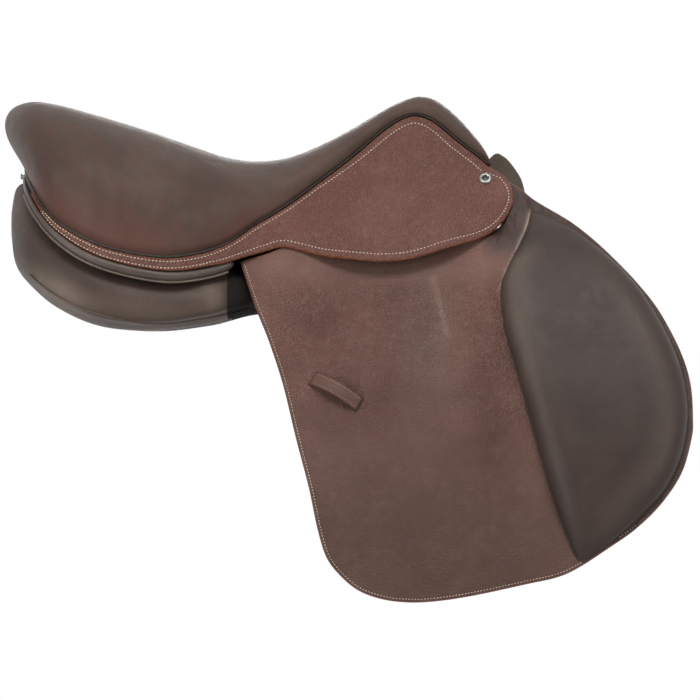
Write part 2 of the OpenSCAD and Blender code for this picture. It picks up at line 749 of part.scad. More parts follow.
module girth_webs() {
    half = billet_width / 2;
    color(web_grey) for (i = [0 : 2]) let (x = billet_x(i)) intersection() {
        side_sheet(billet_in, billet_out, [
            [x - half, flap_foot], [x + half, flap_foot], [x + half, web_top], [x - half, web_top]]);
        fold_side(flap_fold_shares, barrel_radius, false);
    }
}

// Leather guard over the billets' buckles
guard_top_share = 0.7;
guard_top = flap_foot + guard_top_share * flap_height;
guard_height = 84;
guard_margin = 9;
guard_round = 16;
module buckle_guard() {
    rear = billet_x(0) - billet_width / 2 - guard_margin;
    front = billet_x(2) + billet_width / 2 + guard_margin;
    low = guard_top - guard_height;
    color(inner_brown) side_sheet(guard_in, guard_out, concat(
        [[rear, guard_top]],
        [for (a = [180 : 15 : 270]) [rear + guard_round * (1 + cos(a)), low + guard_round * (1 + sin(a))]],
        [for (a = [270 : 15 : 360]) [front - guard_round * (1 - cos(a)), low + guard_round * (1 + sin(a))]],
        [[front, guard_top]]));
}

// Panels

// Corners of the right panel's section at stations along it. Each row holds the place along the panel, then for
// the outer top, outer foot, inner foot and inner top the half width and the height, and last how far the outer
// corners hug the inside of the sweat flap, of which they then are a share.
panel_shares = [
    [0.002, 0.41, 0.50, 0.41, 0.40, 0.34, 0.40, 0.34, 0.50, 0],
    [0.012, 0.50, 0.575, 0.58, 0.29, 0.25, 0.31, 0.24, 0.60, 0],
    [0.041, 0.70, 0.545, 0.78, 0.20, 0.22, 0.245, 0.22, 0.61, 0],
    [0.096, 0.88, 0.40, 0.93, 0.098, 0.22, 0.178, 0.22, 0.52, 0],
    [0.178, 0.98, 0.275, 1.0, 0.024, 0.23, 0.116, 0.23, 0.44, 0],
    [0.280, 0.985, 0.195, 1.0, 0.002, 0.24, 0.098, 0.24, 0.40, 0],
    [0.382, 0.92, 0.205, 0.96, 0.013, 0.25, 0.107, 0.25, 0.39, 0],
    [0.474, 1.008, 0.26, 0.985, 0.045, 0.28, 0.10, 0.26, 0.39, 1],
    [0.597, 0.912, 0.41, 0.920, 0.06, 0.58, 0.03, 0.27, 0.40, 1],
    [0.740, 0.853, 0.47, 0.920, 0.06, 0.59, 0.03, 0.26, 0.42, 1],
    [0.863, 0.636, 0.52, 0.804, 0.09, 0.50, 0.06, 0.19, 0.46, 1],
    [0.930, 0.880, 0.735, 0.845, 0.14, 0.50, 0.12, 0.17, 0.68, 1],
    [0.958, 0.980, 0.742, 0.858, 0.19, 0.50, 0.17, 0.17, 0.70, 1],
    [0.988, 0.926, 0.66, 0.869, 0.27, 0.50, 0.26, 0.23, 0.62, 1],
    [0.998, 0.889, 0.59, 0.906, 0.38, 0.48, 0.375, 0.29, 0.56, 1]
];
panel_stations = 30;
panel_corner_steps = 2;
// How far the middle of a side bulges past its corners, as a share of the side
panel_bulge_share = 0.10;
panel_corner_share = 0.16;

function panel_ring(t) =
    let (
        s = curve_at(panel_shares, t), x = panel_rear + s[0] * panel_length,
        hug = clamp(s[9], 0, 1),
        q = [for (k = [0 : 3])
            let (z = s[2 + 2 * k] * pommel_height, side = -side_y(z, sweat_in))
            [-s[1 + 2 * k] * lerp(panel_half, side, k < 2 ? hug : 0), z]],
        middle = (q[0] + q[1] + q[2] + q[3]) / 4,
        rim = [for (k = [0 : 3]) each
            let (a = q[k], b = q[(k + 1) % 4], mid = (a + b) / 2, side = b - a,
                out = unit(mid - middle))
            [lerp(a, b, panel_corner_share), mid + panel_bulge_share * norm(side) * out,
             lerp(b, a, panel_corner_share)]])
    [for (p = loop_curve(rim, panel_corner_steps)) [x, p[0], p[1]]];

module panel() {
    color(seat_brown) loft([for (i = [0 : panel_stations]) panel_ring(i / panel_stations)]);
}

// Leather bridge between the panels, over the gullet
lining_from_share = 0.056;
lining_to_share = 0.771;
lining_rows = 16;
lining_leather = 2.5;
lining_drop = 5;
lining_spread_shares = [-1, -0.5, 0, 0.5, 1];
module gullet_lining() {
    stations = [for (i = [0 : lining_rows]) lerp(lining_from_share, lining_to_share, i / lining_rows)];
    rows = [for (t = stations) curve_at(panel_shares, t)];
    grid = function(rise) [
        for (s = rows) [
            for (k = lining_spread_shares)
                [panel_rear + s[0] * panel_length, k * panel_half * s[7],
                 pommel_height * s[8] - lining_drop + rise]]];
    color(inner_brown) thick_sheet(grid(lining_leather), grid(0));
}

// Stirrup bars

bar_round = 1.2;
module bar_axes() {
    place = flap_place(bar_place_shares);
    on_side(place[0], place[1], bar_out) children();
}

bar_total = bar_thickness + bar_gap + bar_plate;
plate_width = 26;
// The catch laps over a thinned tongue at the bar's open end and turns there on a pin
tongue_radius = 4;
catch_clearance = 0.3;
catch_length = 19;
pin_inset = tongue_radius;
lap_thickness = (bar_thickness - catch_clearance) / 2;
module stirrup_bar() {
    foot = bar_foot_length;
    end = -bar_length / 2;
    shoulder = end + pin_inset + tongue_radius + catch_clearance;
    color(steel) bar_axes() difference() {
        union() {
            translate([shoulder, -bar_width / 2, -bar_thickness])
                cube([bar_length / 2 + foot - shoulder, bar_width, bar_thickness]);
            translate([end + pin_inset, -tongue_radius, -bar_thickness])
                cube([shoulder - end - pin_inset + catch_clearance, 2 * tongue_radius, lap_thickness]);
            translate([end + pin_inset, 0, -bar_thickness])
                cylinder(r = tongue_radius, h = lap_thickness, $fn = small_facets);
            translate([bar_length / 2, -bar_width / 2, -bar_total + bar_plate / 2])
                cube([foot, bar_width, bar_total - bar_plate / 2 - bar_thickness / 2]);
            translate([-bar_length / 2 - foot, -plate_width / 2, -bar_total])
                cube([bar_length + 2 * foot, plate_width, bar_plate]);
        }
        bar_rivet_places() cylinder(r = rivet_radius, h = 4 * bar_total, center = true, $fn = small_facets);
        translate([end + pin_inset, 0, -bar_thickness / 2])
            cylinder(r = catch_pin_radius, h = bar_thickness + bar_gap, center = true, $fn = small_facets);
    }
}

rivet_radius = 2;
rivet_head_radius = 3.2;
rivet_head = 1.6;
rivet_end_inset = 7;
rivet_side_inset = 4;
rivet_reach = bar_length / 2 + bar_foot_length - rivet_end_inset;
module bar_rivet_places() {
    for (i = [-1, 1]) for (j = [-1, 1])
        translate([i * rivet_reach, j * (plate_width / 2 - rivet_side_inset), 0]) children();
}

module bar_rivets() {
    color(steel) bar_axes() bar_rivet_places() {
        translate([0, 0, -bar_total - layer_gap / 2])
            cylinder(r = rivet_radius - pin_clearance, h = bar_plate + layer_gap, $fn = small_facets);
        translate([0, 0, -bar_total + bar_plate + pin_clearance])
            cylinder(r1 = rivet_head_radius, r2 = rivet_radius, h = rivet_head, $fn = small_facets);
    }
}

// Catch at the open end of the bar: it turns up in the plane of the saddle's side
module catch_place() {
    bar_axes() translate([-bar_length / 2 + pin_inset, 0, 0]) children();
}
module catch() {
    root = tongue_radius + catch_clearance;
    color(steel) catch_place() difference() {
        union() {
            translate([0, 0, -lap_thickness]) cylinder(r = tongue_radius, h = lap_thickness, $fn = small_facets);
            translate([-catch_length, -tongue_radius, -lap_thickness])
                cube([catch_length, 2 * tongue_radius, lap_thickness]);
            translate([-catch_length, -bar_width / 2, -bar_thickness])
                cube([catch_length - root, bar_width, bar_thickness]);
        }
        cylinder(r = catch_pin_radius + pin_clearance, h = 4 * bar_thickness, center = true, $fn = small_facets);
    }
}
module catch_pin() {
    color(steel) catch_place() translate([0, 0, -bar_thickness])
        cylinder(r = catch_pin_radius, h = bar_thickness, $fn = small_facets);
}

// Studs and dees

stud_place_shares = [0.552, 1.028];
stud_rise = 2.4;
stud_flange = 0.9;
stud_neck_share = 0.78;
stud_top_share = 0.45;
module pommel_stud() {
    place = flap_place(stud_place_shares);
    on_side(place[0], place[1], skirt_out) {
        translate([0, 0, layer_gap / 2]) cylinder(r = stud_radius, h = stud_flange, $fn = small_facets);
        translate([0, 0, layer_gap / 2 + stud_flange])
            cylinder(r1 = stud_neck_share * stud_radius, r2 = stud_top_share * stud_radius,
                h = stud_rise - stud_flange, $fn = small_facets);
    }
}
module pommel_studs() {
    color(steel) for (side = ["right", "left"]) on(side) pommel_stud();
}

// Studs that hold the panels to the cantle
cantle_stud_share = 0.045;
cantle_stud_size_share = 0.45;
module cantle_studs() {
    station = roll_end_share * cantle_stud_share;
    into = inward_at(station);
    out = roll_radius_at(station) + stud_rise / 4 + 2 * layer_gap;
    color(steel) for (side = ["right", "left"]) on(side)
        translate(roll_point(station) - out * into) rotate([0, -90, atan2(into[1], into[0])])
            cylinder(r = cantle_stud_size_share * stud_radius, h = stud_rise / 2, center = true,
                $fn = small_facets);
}

// Dee under the skirt's front corner. It lies in a window of the flap's head, in a leather chape
dee_height_share = 0.943;
dee_lead = 57;
dee_turn = 0;
dee_leg = 8.5;
chape_side_gap = 1.5;
chape_width = 2 * (dee_half - chape_side_gap);
chape_length = 15;
chape_cover = 1;
dee_lift = -dee_wire - layer_gap;
module dee_axes() {
    ahead = flap_place(bar_place_shares)[0] + dee_lead;
    on_side(ahead, flap_place([0, dee_height_share])[1], barrel_radius, dee_turn) children();
}
module dee_window() {
    half = dee_half + 2 * dee_wire + layer_gap;
    low = dee_leg + dee_half + 2 * dee_wire + 2 * layer_gap;
    high = chape_length - dee_wire - chape_cover + layer_gap;
    dee_axes() translate([-half, -low, -4 * flap_leather]) cube([2 * half, low + high, 8 * flap_leather]);
}
module dee() {
    ring = dee_half + dee_wire;
    color(steel) dee_axes() translate([0, 0, dee_lift]) {
        translate([0, -dee_leg, 0]) rotate([0, 0, 180]) rotate_extrude(angle = 180, $fn = small_facets)
            translate([ring, 0]) circle(r = dee_wire, $fn = small_facets);
        for (s = [-1, 1]) translate([s * ring, -dee_leg, 0]) rotate([-90, 0, 0])
            cylinder(r = dee_wire, h = dee_leg, $fn = small_facets);
        translate([-ring, 0, 0]) rotate([0, 90, 0]) cylinder(r = dee_wire, h = 2 * ring, $fn = small_facets);
        for (s = [-1, 1]) translate([s * ring, 0, 0]) sphere(r = dee_wire, $fn = small_facets);
    }
}
module dee_chape() {
    color(flap_brown) dee_axes() difference() {
        translate([-chape_width / 2, -dee_wire - chape_cover, dee_lift - dee_wire - chape_cover])
            cube([chape_width, chape_length, 2 * dee_wire + chape_cover]);
        translate([-chape_width, 0, dee_lift]) rotate([0, 90, 0])
            cylinder(r = dee_wire + pin_clearance, h = 2 * chape_width, $fn = small_facets);
    }
}

// Assembly

tree_head();
tree_cantle();
tree_rail();  // tree_rail_right
on("left") tree_rail();  // tree_rail_left
tree_point();  // tree_point_right
on("left") tree_point();  // tree_point_left
gullet_plate();
tree_springs();
seat_webs();
seat_foam();
seat_cover();
seat_welt();
cantle_roll();
skirt_tail();  // skirt_tail_right
on("left") skirt_tail();  // skirt_tail_left
skirt(false);  // skirt_upper_right
on("left") skirt(false);  // skirt_upper_left
skirt(true);  // skirt_right
on("left") skirt(true);  // skirt_left
flap(false);  // flap_upper_right
on("left") flap(false);  // flap_upper_left
flap(true);  // flap_right
on("left") flap(true);  // flap_left
knee_block(true);  // knee_block_right
on("left") knee_block(true);  // knee_block_left
knee_block(false);  // knee_tip_right
on("left") knee_block(false);  // knee_tip_left
keeper();  // keeper_right
on("left") keeper();  // keeper_left
sweat_flap();  // sweat_flap_right
on("left") sweat_flap();  // sweat_flap_left
girth_webs();  // girth_webs_right
on("left") girth_webs();  // girth_webs_left
billet(2);  // billet_front_right
billet(1);  // billet_middle_right
billet(0);  // billet_rear_right
on("left") billet(2);  // billet_front_left
on("left") billet(1);  // billet_middle_left
on("left") billet(0);  // billet_rear_left
buckle_guard();  // buckle_guard_right
on("left") buckle_guard();  // buckle_guard_left
panel();  // panel_right
on("left") panel();  // panel_left
gullet_lining();
stirrup_bar();  // stirrup_bar_right
on("left") stirrup_bar();  // stirrup_bar_left
bar_rivets();  // bar_rivets_right
on("left") bar_rivets();  // bar_rivets_left
catch();  // catch_right
on("left") catch();  // catch_left
catch_pin();  // catch_pin_right
on("left") catch_pin();  // catch_pin_left
dee();  // dee_right
on("left") dee();  // dee_left
dee_chape();  // dee_chape_right
on("left") dee_chape();  // dee_chape_left
pommel_studs();
cantle_studs();
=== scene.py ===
import math
import bmesh
import bpy
import numpy as np
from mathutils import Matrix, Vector
from mathutils.geometry import delaunay_2d_cdt


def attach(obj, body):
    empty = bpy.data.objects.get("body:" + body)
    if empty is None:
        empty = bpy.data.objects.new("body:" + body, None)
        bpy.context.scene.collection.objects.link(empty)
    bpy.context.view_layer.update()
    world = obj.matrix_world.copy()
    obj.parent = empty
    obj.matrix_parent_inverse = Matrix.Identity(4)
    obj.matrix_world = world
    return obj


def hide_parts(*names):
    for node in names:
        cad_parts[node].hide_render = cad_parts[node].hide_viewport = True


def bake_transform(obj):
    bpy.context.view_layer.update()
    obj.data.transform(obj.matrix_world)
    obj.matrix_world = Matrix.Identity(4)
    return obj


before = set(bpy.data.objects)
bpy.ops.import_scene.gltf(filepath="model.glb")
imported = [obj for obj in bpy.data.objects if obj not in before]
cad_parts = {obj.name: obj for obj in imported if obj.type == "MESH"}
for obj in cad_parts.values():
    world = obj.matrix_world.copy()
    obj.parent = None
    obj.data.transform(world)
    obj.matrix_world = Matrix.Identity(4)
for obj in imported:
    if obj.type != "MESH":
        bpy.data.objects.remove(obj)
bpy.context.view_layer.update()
MM = 0.001
SIDES = ("right", "left")

# Sizes in millimetres, most of them as in the part's source
POMMEL, BARREL, FOOT_HALF, HEAD_HALF = 225.0, 840.0, 215.0, 30.0
SEAT_LENGTH, SEAT_HALF, SEAT_REAR = 462.0, 160.0, -0.515 * 462.0
SEAT_LEATHER, SEAT_DISH, SEAT_SWELL = 3.0, 6.0, 21.0
WELT_R, WELT_DROP, SKIRT_TOP_DROP = 1.15, 1.0, 2.0
ROLL_R, ROLL_DROP, ROLL_END = 4.6, 19.0, 0.385
FLAP_REAR, FLAP_WIDTH, FLAP_FOOT, FLAP_HEIGHT = -13.0, 418.0, -250.0, 250.0 + 0.5911 * 225.0
SKIRT_IN, SKIRT_OUT, SWEAT_IN = 840.4, 844.8, 823.4
PANEL_REAR, PANEL_LENGTH, PANEL_HALF = SEAT_REAR + 6.0, 489.0, 152.0

# Lean of the fold lines in degrees, and half the span across a fold line
FOLD_LEAN, FOLD_HALF = 17.5, 12.0
# Sheets: thickness, depth and reach of the rounded edge, how far in the flap is sewn, and the skirt's belly
FLAP_THICK, FLAP_ROUND, FLAP_SEWN = 5.0, (2.5, 2.6), 2.9
SKIRT_THICK, SKIRT_ROUND, SKIRT_BELLY = 4.4, (2.2, 2.4), 12.0
# Height of the knee block and the breadth over which it rises; half sizes of the window for the stirrup bar
BLOCK_RISE, BLOCK_SHOULDER, BAR_WINDOW = 24.0, 26.0, (49.0, 15.0)
# Keeper: span, rise, half width, thickness and rounding; in degrees its lean, half its sweep and half the
# sewn sweep; and how far from its middle line it is sewn
KEEPER_SPAN, KEEPER_RISE, KEEPER_HALF, KEEPER_THICK, KEEPER_ROUND = 44.0, 7.0, 6.4, 3.0, 0.9
KEEPER_LEAN, KEEPER_SWEEP, KEEPER_SEWN, KEEPER_ROW = -31.0, 37, 34, 4.6
# Dark rods at the slots that the keeper's ends go through, for the slots' cut edges and painted shade in the
# slits: distance from its middle, height and radius
SLOT_REACH, SLOT_RISE, SLOT_RADIUS = 25.0, 0.3, 0.8
# One stitch from end to end: share of its length, share of its radius, height in radii; and how deep it lies
STITCH = ((0.04, 0.55, -0.5), (0.2, 0.95, 0.25), (0.5, 1.0, 0.45), (0.8, 0.95, 0.25), (0.96, 0.55, -0.5))
STITCH_SINK = 0.12
# The photograph: place of its camera, millimetres to a pixel, pixels in half its width
CAMERA_X, CAMERA_Y, CAMERA_Z = 90.0, -5000.0, -18.0
PIXEL, HALF_PHOTO = 0.96, 350
# Floor: height, radius, rings and sides of its disc, and the distances in metres over which it fades
FLOOR_Z, FLOOR_RADIUS, FLOOR_RINGS, FLOOR_SIDES, FLOOR_FADE = -430.0, 1060.0, 14, 96, (0.45, 1.0)
# Lamps: place, width and height in metres, and power in watts. All of them look at one point
AIM = (0.09, 0.0, 0.0)
LAMPS = (
    ("key", (0.3, -1.9, 2.2), (1.5, 0.9), 46), ("right", (2.0, -2.2, 0.4), (0.9, 1.7), 23),
    ("left", (-2.0, -2.2, 0.1), (0.9, 1.7), 40), ("top", (0.1, 0.3, 2.4), (2.0, 1.2), 5),
    ("back", (0.2, 2.9, 0.3), (1.4, 1.4), 52))

# Middle of the circle that the horse's right flank follows, through the saddle's head and the flap's foot
_head = np.array([-HEAD_HALF, 0.919 * POMMEL])
_foot = np.array([-FOOT_HALF, FLAP_FOOT])
_chord = _head - _foot
_reach = math.sqrt(BARREL ** 2 - _chord @ _chord / 4)
BY, BZ = (_head + _foot) / 2 + _reach * np.array([_chord[1], -_chord[0]]) / np.linalg.norm(_chord)

# Seam round the seat: shares of its length, half width and the pommel's height; 1 where it is on the flank
SEAM = np.array([
    [0.035, 0.006, 0.702, 0], [0.045, 0.375, 0.667, 0], [0.065, 0.644, 0.598, 0], [0.094, 0.825, 0.507, 0],
    [0.139, 0.931, 0.429, 0], [0.217, 1.000, 0.353, 0], [0.320, 0.981, 0.312, 0], [0.388, 0.919, 0.321, 0],
    [0.454, 0.819, 0.363, 0], [0.511, 0.719, 0.444, 0.5], [0.578, 0.613, 0.529, 1], [0.645, 0.519, 0.631, 1],
    [0.710, 0.419, 0.736, 1], [0.763, 0.325, 0.831, 1], [0.799, 0.256, 0.888, 1], [0.831, 0.213, 0.919, 1],
    [0.858, 0.213, 0.919, 1], [0.889, 0.256, 0.888, 1], [0.933, 0.350, 0.809, 1], [0.976, 0.425, 0.740, 1],
    [0.998, 0.456, 0.698, 1]])
# Middle line of the seat: shares of its length and of the pommel's height
SPINE = np.array([
    [0.056, 0.985], [0.058, 0.990], [0.065, 0.994], [0.082, 0.990], [0.113, 0.975], [0.190, 0.930],
    [0.294, 0.862], [0.385, 0.798], [0.457, 0.748], [0.515, 0.730], [0.576, 0.740], [0.645, 0.790],
    [0.710, 0.858], [0.764, 0.922], [0.799, 0.962], [0.833, 0.991], [0.857, 1.000], [0.890, 0.982],
    [0.929, 0.918], [0.959, 0.849], [0.976, 0.804]])
# How the seat's sides bulge and its middle is hollowed, from the cantle forwards
SWELL = np.array([1, 0.75, 0.45, 0.35, 0.25, 0.12, 0.12, 0.12])
DISH = np.array([0.8, 1, 0.8, 0.4, 0.1, 0, 0, 0])
# Cantle roll from the middle of the cantle forwards: shares of its drop below the seam and of its radius
ROLL_SHARES = np.array([0.43, 0.43, 0.49, 0.80, 0.97, 1.05])
ROLL_RADII = np.array([0.5, 0.5, 0.55, 0.8, 0.95, 1])
# Outlines in the side view, as shares of the flap's width and height. Flap, knee block and the panel's foot
# follow the photograph a little more closely than the part's source does
SKIRT_EDGE = np.array([
    [0.062, 0.851], [0.096, 0.860], [0.138, 0.850], [0.196, 0.830], [0.266, 0.814],
    [0.322, 0.809], [0.388, 0.817], [0.460, 0.842], [0.540, 0.880], [0.586, 0.918], [0.612, 0.964],
    [0.613, 1.003], [0.594, 1.040]])
FLAP_EDGE = np.array([
    [0.000, 0.825], [0.033, 0.718], [0.0645, 0.633], [0.0975, 0.524], [0.127, 0.393], [0.155, 0.277],
    [0.175, 0.175], [0.195, 0.107], [0.228, 0.061], [0.268, 0.027], [0.321, 0.007], [0.383, 0.000],
    [0.451, 0.005], [0.529, 0.019], [0.635, 0.044], [0.704, 0.061], [0.752, 0.085], [0.817, 0.131],
    [0.877, 0.177], [0.934, 0.238], [0.979, 0.311], [1.002, 0.393], [1.006, 0.442], [1.002, 0.527],
    [0.980, 0.609], [0.936, 0.704], [0.893, 0.767], [0.851, 0.818], [0.797, 0.876], [0.741, 0.925],
    [0.665, 0.976], [0.631, 1.007], [0.590, 1.032]])
FLAP_TOP = np.array([[0.50, 1.030], [0.36, 1.000], [0.16, 0.890], [0.06, 0.845]])
BLOCK_Z = np.array([
    0.945, 0.93, 0.90, 0.85, 0.80, 0.75, 0.66, 0.56, 0.46, 0.36, 0.27, 0.20, 0.15, 0.115, 0.10])
BLOCK_REAR = np.array([
    0.655, 0.652, 0.644, 0.622, 0.598, 0.584, 0.592, 0.616, 0.640, 0.664, 0.688, 0.710, 0.728, 0.742, 0.752])
BLOCK_FRONT = np.array([
    0.676, 0.699, 0.747, 0.806, 0.854, 0.893, 0.942, 0.980, 0.994, 0.981, 0.942, 0.881, 0.829, 0.785, 0.764])
BLOCK_CROWN = np.array([
    0.10, 0.24, 0.42, 0.62, 0.78, 0.90, 1.0, 1.0, 1.0, 0.96, 0.88, 0.74, 0.56, 0.34, 0.16])
# Sections of the panel: share of its length, width and height of the corners at outer top, outer foot, inner
# foot and inner top, and 1 where it follows the flank
PANEL = np.array([
    [0.002, 0.41, 0.50, 0.41, 0.40, 0.34, 0.40, 0.34, 0.50, 0],
    [0.012, 0.50, 0.575, 0.58, 0.29, 0.25, 0.31, 0.24, 0.60, 0],
    [0.041, 0.70, 0.545, 0.78, 0.216, 0.22, 0.245, 0.22, 0.61, 0],
    [0.096, 0.88, 0.40, 0.93, 0.112, 0.22, 0.178, 0.22, 0.52, 0],
    [0.178, 0.98, 0.275, 1.0, 0.032, 0.23, 0.116, 0.23, 0.44, 0],
    [0.280, 0.985, 0.195, 1.0, 0.012, 0.24, 0.098, 0.24, 0.40, 0],
    [0.382, 0.92, 0.205, 0.96, 0.044, 0.25, 0.107, 0.25, 0.39, 0],
    [0.474, 1.008, 0.26, 0.985, 0.099, 0.28, 0.12, 0.26, 0.39, 1],
    [0.597, 0.912, 0.41, 0.920, 0.11, 0.58, 0.06, 0.27, 0.40, 1],
    [0.740, 0.853, 0.47, 0.920, 0.06, 0.59, 0.03, 0.26, 0.42, 1],
    [0.863, 0.636, 0.52, 0.804, 0.09, 0.50, 0.06, 0.19, 0.46, 1],
    [0.930, 0.880, 0.735, 0.845, 0.14, 0.50, 0.12, 0.17, 0.68, 1],
    [0.958, 0.980, 0.742, 0.858, 0.19, 0.50, 0.17, 0.17, 0.70, 1],
    [0.988, 0.926, 0.66, 0.869, 0.27, 0.50, 0.26, 0.23, 0.62, 1],
    [0.998, 0.889, 0.59, 0.906, 0.38, 0.48, 0.375, 0.29, 0.56, 1]])


# Curves

def lerp(a, b, t):
    return a + (b - a) * t


def smooth(t):
    t = np.clip(t, 0.0, 1.0)
    return t * t * (3 - 2 * t)


def unit(v):
    v = np.asarray(v, float)
    return v / np.linalg.norm(v)


def catmull(a, b, c, d, t):
    square, cube = 2 * a - 5 * b + 4 * c - d, 3 * b - a - 3 * c + d
    return 0.5 * (2 * b + (c - a) * t + square * t * t + cube * t ** 3)


def curve_at(p, t):
    spans = len(p) - 1
    i = int(min(max(math.floor(t * spans), 0), spans - 1))
    return catmull(p[max(i - 1, 0)], p[i], p[i + 1], p[min(i + 2, spans)], t * spans - i)


def curve(p, steps):
    p = np.asarray(p, float)
    return np.array([curve_at(p, i / steps) for i in range(steps + 1)])


def distances(path):
    """Length along a polyline at each of its points."""
    return np.concatenate([[0], np.cumsum(np.linalg.norm(np.diff(path, axis=0), axis=1))])


def circle(sides):
    return [2 * math.pi * k / sides for k in range(sides)]


def even(path, step, closed=False):
    """Points a step apart along a polyline."""
    path = np.asarray(path, float)
    if closed:
        path = np.vstack([path, path[:1]])
    s = distances(path)
    n = max(2, int(round(s[-1] / step)))
    at = np.linspace(0, s[-1], n + 1)
    out = np.stack([np.interp(at, s, path[:, k]) for k in range(path.shape[1])], axis=1)
    return out[:-1] if closed else out


def side_y(z, r):
    z = np.asarray(z, float)
    return BY - np.sqrt(np.maximum(r * r - (z - BZ) ** 2, 1.0))


def side_normals(z, r=BARREL):
    """Outward directions of the horse's right side at heights z."""
    s = (np.asarray(z, float) - BZ) / r
    return np.stack([np.zeros_like(s), -np.sqrt(1 - s * s), s], axis=-1)


def flap_place(share):
    share = np.asarray(share, float)
    x, z = share[..., 0], share[..., 1]
    return np.stack([FLAP_REAR + x * FLAP_WIDTH, FLAP_FOOT + z * FLAP_HEIGHT], axis=-1)


def side_axes(share, r, turn=0.0):
    """Place on the right side, with the directions along, up and out of it, turned by so many degrees."""
    x, z = flap_place(share)
    s = (z - BZ) / r
    c = math.sqrt(1 - s * s)
    a = math.radians(turn)
    along = np.array([math.cos(a), math.sin(a) * s, math.sin(a) * c])
    rise = np.array([-math.sin(a), math.cos(a) * s, math.cos(a) * c])
    return np.array([x, float(side_y(z, r)), z]), along, rise, np.array([0, -c, s])


def seam_at(t):
    s = curve_at(SEAM, t)
    z = s[2] * POMMEL
    y = lerp(-s[1] * SEAT_HALF, float(side_y(z, SKIRT_OUT)), s[3])
    return np.array([SEAT_REAR + s[0] * SEAT_LENGTH, y, z])


def spine_at(t):
    s = curve_at(SPINE, t)
    return np.array([SEAT_REAR + s[0] * SEAT_LENGTH, 0.0, s[1] * POMMEL])


def inward_at(t):
    a = seam_at(t)
    reach = 0.13 * SEAT_LENGTH * max(0.0, 1 - t / 0.35)
    return unit([spine_at(t)[0] + reach - a[0], -a[1], 0.0])


def seat_point(t, v, depth):
    a, b, turn, into = seam_at(t), spine_at(t), math.pi / 2 * v, inward_at(t)
    level = 1 - max(math.cos(turn), 0.0) ** 0.82
    rise = math.sin(turn) ** 0.82
    front = min(max((t - 0.80) / 0.15, 0.0), 1.0)
    swell = SEAT_SWELL * curve_at(SWELL, t) * math.sin(math.pi * v ** 0.8)
    dish = SEAT_DISH * curve_at(DISH, t) * v ** 4
    x = lerp(a[0], b[0], lerp(level, rise, front))
    p = np.array([x, lerp(a[1], 0.0, level), lerp(a[2], b[2], rise) - dish])
    return p - swell * into + depth * (math.cos(turn) * into - np.array([0, 0, math.sin(turn)]))


def seam_view(t):
    return seam_at(t)[[0, 2]]


def seam_down(t):
    d = unit(seam_view(min(1, t + 0.004)) - seam_view(max(0, t - 0.004)))
    return unit(lerp(np.array([0.0, -1.0]), np.array([d[1], -d[0]]), min(max(t / 0.1, 0.0), 1.0)))


def below_seam(t, drop):
    return seam_view(t) + drop * seam_down(t)


def seam_point(t, drop, out):
    p, a, hug, into = below_seam(t, drop), seam_at(t), curve_at(SEAM, t)[3], inward_at(t)
    return np.array([p[0] - out * into[0] * (1 - hug),
                     lerp(a[1] - out * into[1], float(side_y(p[1], SKIRT_IN + out)), hug), p[1]])


def roll_drop_at(t):
    return ROLL_DROP * curve_at(ROLL_SHARES, min(1.0, t / ROLL_END))


def roll_radius_at(t):
    return ROLL_R * curve_at(ROLL_RADII, min(1.0, t / ROLL_END))


def tail_foot(t):
    return roll_drop_at(t) - roll_radius_at(t) - 0.5


# Mesh builders

def make(name, verts, faces, material, marks=None):
    """Mesh object from points in millimetres."""
    mesh = bpy.data.meshes.new(name)
    mesh.from_pydata((np.asarray(verts, float) * MM).tolist(), [], [tuple(int(i) for i in f) for f in faces])
    mesh.update()
    for key, values in (marks or {}).items():
        layer = mesh.attributes.new(key, "FLOAT", "POINT")
        layer.data.foreach_set("value", np.asarray(values, np.float32))
    mesh.polygons.foreach_set("use_smooth", [True] * len(mesh.polygons))
    obj = bpy.data.objects.new(name, mesh)
    bpy.context.scene.collection.objects.link(obj)
    mesh.materials.append(material)
    return obj


def mirrored(verts, faces):
    v = np.array(verts, float)
    v[:, 1] *= -1
    return v, [tuple(reversed(f)) for f in faces]


def sided(side, verts, faces):
    return (verts, faces) if side == "right" else mirrored(verts, faces)


def joined(parts):
    """One list of points and faces from several."""
    verts, faces, n = [], [], 0
    for v, f in parts:
        verts.append(np.asarray(v, float))
        faces += [tuple(i + n for i in face) for face in f]
        n += len(v)
    return np.vstack(verts), faces


def halves(mesh):
    """The right half of a piece and its mirror image as one mesh."""
    return joined([mesh, mirrored(*mesh)])


def grid_faces(rows, cols, closed=False):
    faces = []
    for i in range(rows - 1):
        for j in range(cols if closed else cols - 1):
            k = (j + 1) % cols
            faces.append((i * cols + j, (i + 1) * cols + j, (i + 1) * cols + k, i * cols + k))
    return faces


def loft(rings):
    """Closed surface through rings of one length; the ends are closed by fans about their middles."""
    m, n = len(rings), len(rings[0])
    verts = [p for r in rings for p in r] + [np.mean(rings[0], axis=0), np.mean(rings[-1], axis=0)]
    faces = grid_faces(m, n, True)
    faces += [(m * n, j, (j + 1) % n) for j in range(n)]
    faces += [(m * n + 1, (m - 1) * n + (j + 1) % n, (m - 1) * n + j) for j in range(n)]
    return np.array(verts), faces


